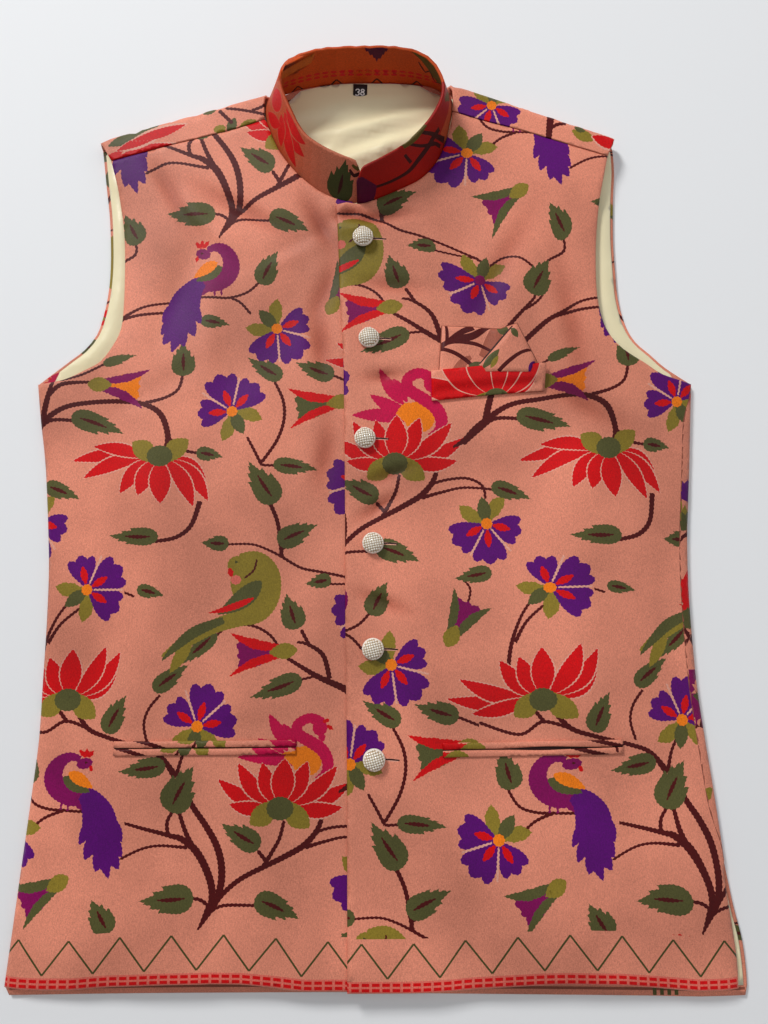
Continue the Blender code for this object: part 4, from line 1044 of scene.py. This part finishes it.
# The lining: cream satin inside the back. It shows in the neck, at both armholes and in the vent, and
# it is soft enough to lie in shallow folds that the lamps pick out.
LINING_INSETS = {"side": 12.5, "armhole": 2.3, "shoulder": 1.2, "neck": 1.8, "vent": 2.8, "hem": 7.0}
LINING_TOP, LINING_CLOTH = 3.3, 1.0
LINING_FOLDS = (
    # x, y, angle, half length, half width, height
    (-20, 262, 16, 70, 7, 3.4), (-28, 284, 12, 60, 6, 2.8), (14, 272, 24, 60, 6, 4.2),
    (24, 296, 14, 46, 7, 2.8), (-40, 304, 8, 46, 6, 2.0), (22, 254, 32, 40, 5, 3.2),
    (-14, 242, 10, 40, 5, 2.6), (38, 280, 42, 24, 4, 3.0), (-10, 316, 4, 60, 5, 1.4),
    (-36, 270, 40, 26, 4, 2.0), (-2, 288, 30, 22, 3, 1.6), (4, 262, 64, 16, 3, 1.6),
)


def moved_in(line, inset):
    """The line moved to its right, where the inside of the back is."""
    out = []
    for i, (x, y) in enumerate(line):
        (ax, ay), (bx, by) = line[max(i - 1, 0)], line[min(i + 1, len(line) - 1)]
        length = math.hypot(bx - ax, by - ay)
        out.append((x + inset * (by - ay) / length, y - inset * (bx - ax) / length))
    return out


rolls = {name: [unrolled(side, a, 0.0) for a in range(first, last, 15)]
         for name, side, first, last in (("left", LEFT, 2, 153), ("right", RIGHT, -13, 141))}
lining_edges = (
    ("side", smooth(LEFT_SIDE, 24)), ("armhole", smooth(BACK_LEFT_ARMHOLE, 6)), ("shoulder", rolls["left"]),
    ("neck", smooth(BACK_NECK, 8)), ("shoulder", rolls["right"]),
    ("armhole", smooth(BACK_RIGHT_ARMHOLE[::-1], 6)), ("side", smooth(RIGHT_SIDE[::-1], 24)),
    ("vent", smooth(BACK_VENT, 7)), ("hem", smooth(BACK_HEM[::-1], 40)),
)
lining_outline = []
for kind, line in lining_edges:
    moved = np.array(moved_in(line, LINING_INSETS[kind]))
    clear = np.ones(len(moved), bool)
    for other_kind, other in lining_edges:
        clear &= distance(moved, other) > LINING_INSETS[other_kind] - 0.4
    if kind == "neck":
        clear &= (moved[:, 0] > -68) & (moved[:, 0] < 42)
    lining_outline += [tuple(p) for p in moved[clear]]
lining_outline = np.array(lining_outline[::-1])
flat_points, faces, _ = cut_cloth(lining_outline, [], spacing=5.0)
x, y = flat_points.T
heights = np.full(len(flat_points), LINING_TOP)
ring = np.vstack([lining_outline, lining_outline[:1]])
inset = distance(flat_points, ring)
in_neck = ramp(inset, 2, 14) * ramp(y, 215, 235) * ramp(np.abs(x + 14), 92, 60)
# Long folds show in the neck, and small gathers beside the seam of each armhole.
for *fold, height in LINING_FOLDS:
    heights += in_neck * height * trough(flat_points, *fold)
for armhole in (BACK_LEFT_ARMHOLE, BACK_RIGHT_ARMHOLE):
    away = distance(flat_points, smooth(armhole, 6))
    pucker = 0.35 * np.sin(y / 7.3 + 1.3 * np.sin(y / 19.0))
    heights += (2.0 + pucker) * np.exp(-(((away - 9.5) / 4.6) ** 2)) * ramp(y, 82, 96)
heights -= turned_edge(flat_points, lining_outline, reach=1.6, drop=0.5)
lining = sewn("back_lining_sheet", np.column_stack([flat_points, heights]), faces, LINING_CLOTH,
              [lining_satin])
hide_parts("back_lining")

# The collar: a stiffened band of the cloth's darker end piece, sewn along the neck and turned up. Its
# outer face shows petals, a leaf and stems, its inner face the woven border. The ends lap at the front.
COLLAR = (
    # foot_x, foot_y, foot_z, top_x, top_y, top_z, share
    (-9.4, 221.9, None, -9.8, 237.0, 36.0, 0.62),
    (-13.0, 221.1, None, -13.0, 238.2, 36.6, 0.93),
    (-19.0, 220.8, None, -19.0, 240.2, 37.0, 1.0),
    (-28.1, 222.2, None, -27.2, 243.4, 37.0, 1.0),
    (-43.8, 229.4, None, -41.5, 250.8, 37.0, 1.0),
    (-59.7, 242.6, None, -53.5, 259.5, 37.0, 1.0),
    (-71.8, 257.0, None, -60.5, 269.5, 37.0, 1.0),
    (-79.9, 271.6, None, -65.6, 280.4, 37.0, 1.0),
    (-87.0, 290.5, None, -71.5, 294.0, 37.0, 1.0),
    (-88.0, 302.0, 10.8, -74.2, 303.0, 36.8, 1.0),
    (-85.0, 311.5, 8.4, -74.3, 312.5, 36.3, 1.0),
    (-77.0, 318.8, 5.0, -70.5, 321.5, 35.8, 1.0),
    (-62.0, 324.6, 2.9, -59.5, 329.0, 35.2, 1.0),
    (-45.7, 328.4, 2.3, -44.5, 333.8, 35.0, 1.0),
    (-29.5, 330.4, 2.3, -29.0, 335.5, 35.0, 1.0),
    (-13.2, 330.9, 2.3, -13.0, 336.0, 35.0, 1.0),
    (3.0, 330.9, 2.3, 3.2, 336.3, 35.0, 1.0),
    (19.3, 330.6, 2.3, 19.0, 335.2, 35.0, 1.0),
    (35.5, 329.0, 2.4, 34.0, 331.0, 35.2, 1.0),
    (47.0, 325.9, 4.4, 43.5, 323.5, 35.8, 1.0),
    (55.5, 319.5, 7.6, 49.5, 314.0, 36.3, 1.0),
    (60.0, 309.0, 10.4, 52.5, 304.5, 36.8, 1.0),
    (60.2, 297.5, None, 52.5, 295.5, 37.4, 1.0),
    (58.7, 287.5, None, 50.0, 286.0, 37.8, 1.0),
    (54.6, 271.6, None, 42.5, 272.5, 38.0, 1.0),
    (47.6, 254.5, None, 32.0, 260.0, 38.2, 1.0),
    (34.6, 239.2, None, 20.5, 249.5, 38.6, 1.0),
    (18.8, 229.8, None, 6.5, 240.5, 39.0, 1.0),
    (1.6, 222.0, None, -4.5, 234.6, 39.0, 1.0),
    (-9.0, 218.2, None, -10.5, 232.4, 39.0, 0.93),
    (-14.6, 217.3, None, -14.6, 231.6, 39.0, 0.62),
)
COLLAR_CLOTH, COLLAR_HEIGHT, FOOT_SUNK, SEAM_ALLOWANCE = 2.4, 34.0, 1.6, 1.8
# Rows of the table whose foot stands on the back, and the end of the fronts at the shoulder seams.
FIRST_BACK_ROW, LAST_BACK_ROW, FRONT_END_Y = 9, 21, 296.0
collar_rows = []
for number, (x, y, z, *top) in enumerate(COLLAR):
    if z is None:
        place = np.array([(x, min(y, FRONT_END_Y))])
        z = float((lapped_top if number > LAST_BACK_ROW else under_top)(place)[0]) - FOOT_SUNK
    collar_rows.append((x, y, z, *top))
fine_rows = np.array(smooth(collar_rows, 2.5))
fine_rows[:, 6] = np.minimum(fine_rows[:, 6], 1.0)
run = np.concatenate([[0.0], np.cumsum(np.linalg.norm(np.diff(fine_rows[:, :2], axis=0), axis=1))])
row_at = [float(run[np.argmin(np.linalg.norm(fine_rows[:, :2] - row[:2], axis=1))]) for row in collar_rows]
row_at[0], row_at[-1] = 0.0, float(run[-1])


def collar_place(points):
    """From (run along the foot, height up the band) to the standing collar."""
    u, v = points.T
    x, y, z, top_x, top_y, top_z, _ = (np.interp(u, run, fine_rows[:, k]) for k in range(7))
    t = v / COLLAR_HEIGHT
    # The band bows out at the front, and its back is faintly ribbed by the stiffener inside.
    swell = 0.8 * np.sin(math.pi * np.clip(t, 0, 1)) * (y < 260)
    ripple = 0.35 * np.sin(u / 1.7 + 2.4 * np.sin(u / 9.0)) * ramp(y, 300, 318) * np.clip(t, 0, 1)
    return np.column_stack([x + t * (top_x - x), y + t * (top_y - y) - swell - ripple, z + t * (top_z - z)])


def on_collar(row, height):
    """A place on the band, by the number of the row in COLLAR and the height in millimetres."""
    return float(np.interp(row, range(len(row_at)), row_at)), height


THREAD.update({
    "band_back": tint("#C64A10"), "band_left": tint("#B64A26"), "band_salmon": tint("#D2785A"),
    "band_right": tint("#9C0E00"), "band_line": tint("#3A0A08"), "deep_red": tint("#C40A0C"),
    "deep_purple": tint("#50002A"), "dash_red": tint("#C81418"),
    "band_orange": tint("#C0601E"), "deep_green": tint("#40441C"), "band_olive": tint("#5A4A14"),
    "band_pale": tint("#B5563C"),
})
ends = [(u, COLLAR_HEIGHT * min(1.0, s)) for u, s in zip(run, fine_rows[:, 6])]
# Behind the shoulders the foot of the band goes on down to the back's neck edge.
at_back = (run > row_at[FIRST_BACK_ROW]) & (run < row_at[LAST_BACK_ROW + 1])
feet = [(u, -(max(0.0, z - 3.0) if deep else SEAM_ALLOWANCE))
        for u, z, deep in zip(run, fine_rows[:, 2], at_back)]
collar_outline = np.array(feet[::2] + [(run[-1], -SEAM_ALLOWANCE)] + ends[::-2] + [(0.0, ends[0][1])])
_, first = np.unique(np.round(collar_outline, 3), axis=0, return_index=True)
collar_outline = collar_outline[np.sort(first)]


def band(colour, first_row, last_row, low=-2.0, high=36.0):
    """An upright field of one colour between two rows of the collar."""
    return (colour, [on_collar(first_row, low), on_collar(last_row, low),
                     on_collar(last_row, high), on_collar(first_row, high)])


def collar_petal(colour, start, tip, width, bend=0.0):
    """A petal between two places on the collar, each a row and a height."""
    return (colour, blade(on_collar(*start), on_collar(*tip), width, bend))


# The salmon end of the band darkens in small steps towards the shoulder.
BLENDS, BLEND_START, BLEND_STEP = 6, 3.6, 0.45
for k in range(BLENDS):
    THREAD[f"band_{k}"] = tuple(a + (b - a) * (k + 0.5) / BLENDS
                                for a, b in zip(THREAD["band_salmon"], THREAD["band_left"]))
outer_marks = [band(f"band_{k}", BLEND_START + BLEND_STEP * k, BLEND_START + 0.5 + BLEND_STEP * k)
               for k in range(BLENDS)] + [
    band("band_salmon", -1, 3.6), band("band_left", 6.3, 9.5), band("band_back", 9.5, 21.0),
    band("band_right", 21.0, 31), band("band_left", 21.5, 24.0, -2.0, 12.0),
]
for start, tip, width, bend in (
    ((7.3, 27), (4.9, 18), 13, 0.06), ((7.2, 24), (5.3, 3), 13, -0.05), ((7.4, 22), (6.5, 3), 12, -0.10),
    ((7.3, 31), (4.9, 28), 9, 0.08), ((8.3, 5), (7.1, 15), 11, 0.1),
):
    outer_marks.append(collar_petal("band_pale", start, tip, width + 2.0, bend))
    outer_marks.append(collar_petal("deep_red", start, tip, width, bend))
u, v = on_collar(8.2, 23)
outer_marks += [("band_pale", oval(u, v, 23, 19)), ("deep_red", oval(u, v, 21, 17))]
u, v = on_collar(2.9, 15)
outer_marks += [("deep_green" if colour == "green" else "band_line", points)
                for colour, points in leaf(u, v, 104, 34, 24)]
for colour, places in (
    ("band_line", ((2.1, 26, 2.0), (1.6, 22, 3.0), (0.8, 25, 2.0))),
    ("band_olive", ((1.8, 30, 2.0), (1.2, 28, 3.4), (0.4, 31, 2.0))),
    ("band_line", ((28.0, 12, 2.6), (27.2, 11, 2.8), (26.4, 12, 3.2), (25.6, 16, 4.2), (24.6, 18, 5.0),
                   (23.9, 17, 5.0))),
    ("band_line", ((26.1, 27, 2.8), (26.0, 18, 3.2))),
    ("band_line", ((25.7, 33, 2.6), (25.2, 24, 2.8), (24.6, 14, 3.2), (24.4, 4, 3.4))),
    ("band_line", ((24.8, 33, 2.8), (24.4, 22, 3.8), (24.2, 12, 4.6), (24.0, 2, 5.4))),
    ("band_olive", ((26.0, 33, 3.0), (25.2, 33, 5.0), (24.4, 34, 2.0))),
    ("band_olive", ((22.4, 28, 4.0), (21.8, 22, 8.0), (21.4, 12, 7.0))),
):
    outer_marks.append((colour, ribbon([(*on_collar(row, height), width) for row, height, width in places])))
outer_marks.append(("deep_purple", [on_collar(*place) for place in (
    (31, 26), (30, 25), (29, 25.5), (28.2, 18), (27.9, 13), (28.1, 5), (28.4, -2), (31, -2))]))
inner_marks = [band("band_salmon", -1, 6.0), band("band_back", 6.0, 24.0), band("band_right", 24.0, 31)]
middle_u = on_collar(15.85, 0)[0]
for k in range(-14, 15):
    centre = middle_u + k * DASH_STEP
    for height in (8.8, 12.4):
        inner_marks.append(("dash_red", oval(centre, height, 5.6, 2.5)))
for k in range(-2, 3):
    peak = middle_u + k * 33.0
    for to in (-1, 1):
        inner_marks.append(("mouth", ribbon([(peak, 4.6, 1.2), (peak + to * 7.0, -3.0, 1.2)], 4)))
jagged = [(middle_u - 9.5 + 19 * k / 14, 34.5 - 11.5 * (1 - abs(k - 7) / 7) - (2.2 if k % 2 else 0))
          for k in range(15)]
inner_marks.append(("deep_purple", [(middle_u - 11, 36)] + jagged + [(middle_u + 11, 36)]))
inner_marks.append(("band_orange", [on_collar(*place) for place in (
    (10.3, 33), (10.2, 24), (10.9, 19), (11.8, 20), (12.6, 24), (12.8, 33))]))
inner_marks.append(("band_olive", [on_collar(*place) for place in (
    (17.4, 36), (18.2, 29), (18.8, 21), (19.6, 10), (20.6, 14), (21.4, 36))]))
inner_marks.append(("mouth", ribbon([(*on_collar(row, height), 1.3) for row, height in (
    (18.0, 26), (18.5, 17), (18.9, 21), (19.3, 10), (19.9, 13))], 4)))

flat_points, faces, _ = cut_cloth(collar_outline, outer_marks + inner_marks, spacing=3.4)
middles = flat_points[faces].mean(1)
layers = {}
for label, marks, plain in (
    ("thread", outer_marks, "band_left"), ("thread_inside", inner_marks, "band_back"),
):
    layers[label] = thread_colours(marks, mark_on_top(middles, marks), plain)
collar_outer = woven("collar_brocade_outside")
collar_inner = woven("collar_brocade_inside", "thread_inside")
standing = collar_place(flat_points)
collar = sewn("collar_band", standing, faces[:, ::-1], COLLAR_CLOTH, [collar_outer, collar_inner], layers,
              inner=1)
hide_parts("collar")

# Six domed buttons with a lattice of ivory squares over a tan ground, each sewn through a shank to the front
# underneath, and a worked buttonhole that runs from under it toward the side.
BUTTON_PROFILE = (
    # radius, height, from the shank up the rim and over the dome; the real button is wider by WIDER
    (0.0, 0.0), (5.6, 0.0), (7.2, 0.7), (7.5, 1.6), (7.1, 2.6), (6.5, 3.3), (4.9, 4.7), (2.6, 5.6),
    (0.0, 6.0),
)
WIDER, TAN_REACH, TRIM_GAP = 1.06, 6.6, 0.4
LATTICE_REACH, LATTICE_COUNT, LATTICE_STEP, LATTICE_LEAN = 7.1, 5, 1.72, 0.16
SQUARE_SIDE, SQUARE_HEIGHT, SQUARE_BEVEL, SQUARE_LIFT = 1.4, 0.9, 0.14, 0.1
# Ivory resin: faintly mottled and glossy, so that each square has a small highlight.
ivory, tree, shader = finish_named("button_ivory_resin")
place = node(tree, "ShaderNodeTexCoord").outputs["Object"]
spots = node(tree, "ShaderNodeTexNoise", {"Vector": place}, {"Scale": 700.0, "Detail": 2.0})
mix = node(tree, "ShaderNodeMix", {"Factor": spots.outputs["Fac"]}, data_type="RGBA")
mix.inputs["A"].default_value, mix.inputs["B"].default_value = tint("#E6DCC8"), tint("#FBF6EC")
tree.links.new(mix.outputs["Result"], shader.inputs["Base Color"])
shader.inputs["Roughness"].default_value = 0.28
shader.inputs["Coat Weight"].default_value = 0.3
# Tan resin under the lattice: duller and darker, so that the squares stand out from it.
tan, tree, shader = finish_named("button_tan_base")
shader.inputs["Base Color"].default_value = tint("#A98A5E")
shader.inputs["Roughness"].default_value = 0.5
for number, (x, y) in enumerate(BUTTONS, 1):
    base = max(front_top(x + dx, y + dy) for dx, dy in ((0, 0), (7, 0), (-7, 0), (0, 7), (0, -7))) + TRIM_GAP
    shape = bmesh.new()
    profile = [shape.verts.new((radius * WIDER, 0, height)) for radius, height in BUTTON_PROFILE]
    edges = [shape.edges.new(pair) for pair in zip(profile, profile[1:])]
    bmesh.ops.spin(shape, geom=profile + edges, cent=(0, 0, 0), axis=(0, 0, 1), angle=math.tau, steps=28,
                   use_merge=True)
    bmesh.ops.remove_doubles(shape, verts=shape.verts, dist=0.001)
    bmesh.ops.recalc_face_normals(shape, faces=shape.faces)
    for face in shape.faces:
        face.material_index = int(face.calc_center_median().xy.length < TAN_REACH)
    tilt = 0.05 + 0.04 * number
    radii, heights = zip(*BUTTON_PROFILE[3:][::-1])
    steps = range(-LATTICE_COUNT, LATTICE_COUNT + 1)
    places = turned([(i * LATTICE_STEP, k * LATTICE_STEP) for i in steps for k in steps], math.degrees(tilt))
    for px, py in places:
        reach = math.hypot(px, py)
        if reach < LATTICE_REACH:
            lean = Vector((0, 0, 1)).rotation_difference(Vector((px * LATTICE_LEAN, py * LATTICE_LEAN, 1)))
            facing = lean.to_matrix() @ Matrix.Rotation(tilt, 3, "Z")
            made = bmesh.ops.create_cube(shape, size=1.0)["verts"]
            bmesh.ops.scale(shape, vec=(SQUARE_SIDE, SQUARE_SIDE, SQUARE_HEIGHT), verts=made)
            bmesh.ops.rotate(shape, cent=(0, 0, 0), matrix=facing, verts=made)
            dome = float(np.interp(reach / WIDER, radii, heights))
            bmesh.ops.translate(shape, vec=(px, py, dome + SQUARE_LIFT), verts=made)
            sides = list({edge for vert in made for edge in vert.link_edges})
            bmesh.ops.bevel(shape, geom=sides, offset=SQUARE_BEVEL, affect="EDGES", segments=1, profile=0.5,
                            material=-1)
    bmesh.ops.translate(shape, vec=(x + SHIFT[0], y + SHIFT[1], base), verts=shape.verts)
    bmesh.ops.scale(shape, vec=(MM, MM, MM), verts=shape.verts)
    mesh = bpy.data.meshes.new(f"button_lattice_{number}")
    shape.to_mesh(mesh)
    shape.free()
    mesh.materials.append(ivory)
    mesh.materials.append(tan)
    mesh.shade_smooth()
    button = bpy.data.objects.new(f"button_lattice_{number}", mesh)
    bpy.context.scene.collection.objects.link(button)
    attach(button, "root")
    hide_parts(f"button_{number}")

# The lower pockets: each mouth is a slit in the front with two narrow jets of the same cloth along it. The
# jets are folded strips, pressed and sewn down at both ends, and the lapping front's gape a little.
# The slit itself is not cut: a strip painted dark on the front stands for the shade in it.
JET_WIDTH, JET_CLOTH = 5.0, 1.2


def laid_on_front(name, outline, marks, lift, thickness, spacing, rise=None, edge=(0.5,)):
    """A small piece of the brocade that lies on the front, with its own marks."""
    outline = np.array(outline, float)
    flat_points, faces, on_top = cut_cloth(outline, marks, spacing, edge)
    laps = flat_points[:, 0] > placket_x(flat_points[:, 1])
    over = np.where(laps, lapped_top(flat_points), under_top(flat_points))
    heights = over + lift + thickness - turned_edge(flat_points, outline, reach=1.0, drop=0.45)
    if rise is not None:
        heights += rise(flat_points)
    return sewn(name, np.column_stack([flat_points, heights]), faces, thickness, [brocade, lining_satin],
                {"thread": thread_colours(marks, on_top)}, inner=1)


for name, (left_x, left_y, right_x, right_y) in POCKETS.items():
    middle = [(left_x + (right_x - left_x) * k / 30, left_y + (right_y - left_y) * k / 30) for k in range(31)]
    foot, turn, stretch = TREE_ON[name]
    gape = 0.9 if name == "left" else 0.15
    opens = [0.35 + gape * math.exp(-(((x - left_x - 72) / 20) ** 2)) for x, _ in middle]
    for part, sign, slip in (("upper", 1, 3.0), ("lower", -1, -3.0)):
        outline = [(x, y + sign * mouth) for (x, y), mouth in zip(middle, opens)]
        outline += [(x, y + sign * JET_WIDTH) for x, y in middle[::-1]]
        near = pattern((foot[0] + 2.0 * slip, foot[1] + slip), turn, stretch, np.min(outline, 0),
                       np.max(outline, 0))
        jet = laid_on_front(f"jet_strip_{name}_{part}", outline, near, TRIM_GAP, JET_CLOTH, 2.4)
        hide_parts(f"jet_{name}_{part}")

# The chest pocket: a slanted welt of the same cloth, cut from a lotus and folded double, closes it below.
# A folded square of the cloth stands behind the welt, its right half turned over to the front.
CHEST_WELT = ((42.2, 58.6), (84.0, 62.6), (127.1, 66.3), (128.4, 87.3), (84.0, 85.0), (41.7, 81.1))
POCKET_SQUARE = (
    (46.9, 74.0), (50.0, 117.4), (72.0, 117.2), (94.5, 114.6), (107.5, 119.3), (122.3, 89.6), (117.0, 78.0),
)
SQUARE_FLAP = ((78.0, 86.0), (103.8, 116.4), (106.9, 117.7), (121.6, 89.4), (116.6, 78.6), (82.0, 78.6))
WELT_CLOTH, SQUARE_CLOTH, WELT_SLOPES = 1.6, 1.2, (0.0907, 0.0715)


def flap_rise(points):
    """The right half of the square is folded over and lies higher, and the left half sags behind it."""
    flap, ring = np.array(SQUARE_FLAP), list(POCKET_SQUARE) + [POCKET_SQUARE[0]]
    away = distance(points, list(SQUARE_FLAP) + [SQUARE_FLAP[0]])
    lifted = 1.6 * ramp(distance(points, ring), 0, 2.5)
    dents = 1.5 * trough(points, 84, 106, 0, 6, 12) + 1.1 * trough(points, 64, 88, 0, 14, 6)
    return lifted - dents + np.where(within(points, flap), 2.6 * ramp(away, 0, 1.6), 0.0)


def welt_rise(points):
    """The upper part of the welt lies over the square, two cloths high, and stands up by that."""
    x, y = points.T
    (foot_x, foot_y), (head_x, head_y) = CHEST_WELT[0], CHEST_WELT[-1]
    low_y, high_y = foot_y + (x - foot_x) * WELT_SLOPES[0], head_y + (x - head_x) * WELT_SLOPES[1]
    return ramp((y - low_y) / (high_y - low_y), 0.25, 0.62) * (2 * SQUARE_CLOTH + 0.5)


square_marks = [
    # The two fold marks are painted shade in the folds of the square and beside its flap.
    ("fold", ribbon([(60, 79, 8), (66, 88, 7), (72, 92, 3)])),
    ("fold", ribbon([(92, 114, 9), (88, 104, 11), (80, 92, 5)])),
    ("maroon", ribbon([(44, 99, 5), (52, 102, 4), (62, 110, 4), (74, 116, 6)])),
    ("maroon", ribbon([(58, 107, 4), (72, 108, 6), (84, 115, 4), (90, 117, 3)])),
    ("maroon", ribbon([(48, 101, 4), (60, 104, 3), (76, 102, 3), (88, 96, 2)])),
    ("maroon", ribbon([(46, 99, 3), (58, 96, 3), (68, 90, 3), (76, 82, 3)])),
    ("maroon", ribbon([(54, 104, 3), (54, 112, 2.4), (53, 119, 2)])),
    ("green", oval(76, 84, 12, 9)), ("green", blade((92, 118), (100, 108), 8)),
    ("ground", list(SQUARE_FLAP)), ("green", blade((80, 82), (93, 97), 6)),
    ("olive", blade((86, 82), (92, 92), 4)), ("purple", oval(119, 82, 9, 12)),
    ("maroon", ribbon([(92, 80, 3), (100, 88, 3), (110, 95, 2.6), (122, 98, 2.4)])),
    ("green", blade((102, 114), (107, 106), 5)),
    # A near-black line along the flap's edge: painted shadow under it.
    ("mouth", ribbon([(78.4, 86.6, 1.0), (91, 101.4, 1.4), (103.6, 116, 1.0)])),
    # A dark line along the square's edges: painted shade where the cloth turns under.
    ("seam", ribbon([(46.9, 76, 1.4), (50.0, 117.2, 1.6), (72.0, 117.0, 1.6), (94.5, 114.6, 1.6),
                     (107.5, 119.0, 1.4), (122.2, 89.6, 1.4)], 30)),
]
square = laid_on_front("pocket_square_folded", POCKET_SQUARE, square_marks, TRIM_GAP, SQUARE_CLOTH, 3.0,
                       flap_rise)
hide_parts("pocket_square")
WELT_LOTUS = (
    # tip_x, tip_y, width, bend
    (-66, 16, 15, 0.12), (-44, 36, 17, 0.12), (-20, 42, 17, 0.08), (30, 18, 8, -0.14), (33, 32, 9.5, -0.14),
    (19, 40, 9.5, -0.08), (3, 42, 12, 0.0),
)
welt_outline = smooth(CHEST_WELT[:3], 6) + smooth(CHEST_WELT[3:], 6)
welt = laid_on_front("chest_welt_strip", welt_outline, lotus(91, 60, WELT_LOTUS), TRIM_GAP, WELT_CLOTH, 2.6,
                     welt_rise)
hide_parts("chest_welt")

# The size tab: a small loop of black woven tape with plain white numerals. It is sewn into the neck seam at
# the back and lies on the lining with a slight bow.
SIZE_TAB = ((-18.8, 314.6), (-7.5, 314.2), (-7.2, 326.2), (-18.6, 326.6))
TAB_WIDTH, TAB_GAP, TAB_TAPE, TAB_BOW = 11.5, 0.3, 0.8, 0.5
# Woven tape: fine ribs across it and hardly any shine.
tape, tree, shader = finish_named("tab_black_tape")
place = node(tree, "ShaderNodeTexCoord").outputs["Object"]
ribs = node(tree, "ShaderNodeTexWave", {"Vector": place}, {"Scale": 320.0, "Distortion": 0.4},
            bands_direction="Y")
threads = node(tree, "ShaderNodeAttribute", attribute_name="thread").outputs["Color"]
rib_shade = node(tree, "ShaderNodeMapRange", {"Value": ribs.outputs["Fac"]}, {"To Min": 0.75, "To Max": 1.1})
rib_colour = node(tree, "ShaderNodeVectorMath", {0: threads}, operation="SCALE")
tree.links.new(rib_shade.outputs[0], rib_colour.inputs["Scale"])
tree.links.new(rib_colour.outputs[0], shader.inputs["Base Color"])
shader.inputs["Roughness"].default_value = 0.55
TAB_BLACK, TAB_WHITE = tint("#121214"), tint("#E8E8E4")
NUMERALS = (
    (1, ribbon([(-16.7, 320.7, 0.9), (-15.4, 321.8, 0.9), (-13.9, 321.2, 0.9), (-13.9, 319.8, 0.9),
                (-15.1, 319.0, 0.9)], 0.8)),
    (1, ribbon([(-15.1, 319.1, 0.9), (-13.8, 318.2, 0.9), (-14.2, 316.7, 0.9), (-15.6, 316.2, 0.9),
                (-17.0, 317.0, 0.9)], 0.8)),
    (1, oval(-11.0, 320.5, 3.3, 3.1)), (1, oval(-11.2, 317.6, 3.8, 3.5)),
    (0, oval(-11.0, 320.5, 1.5, 1.3)), (0, oval(-11.2, 317.6, 1.9, 1.7)),
)
flat_points, faces, on_top = cut_cloth(np.array(SIZE_TAB), NUMERALS, spacing=2.0)
tab_colours = np.array([TAB_WHITE if white else TAB_BLACK for white, _ in NUMERALS] + [TAB_BLACK])[on_top]
bowed = TAB_BOW * np.sin((flat_points[:, 0] - SIZE_TAB[0][0]) / TAB_WIDTH * math.pi)
tab = sewn("size_tab_tape", np.column_stack([flat_points, LINING_TOP + TAB_GAP + TAB_TAPE + bowed]), faces,
           TAB_TAPE, [tape], {"thread": tab_colours})
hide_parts("size_tab")
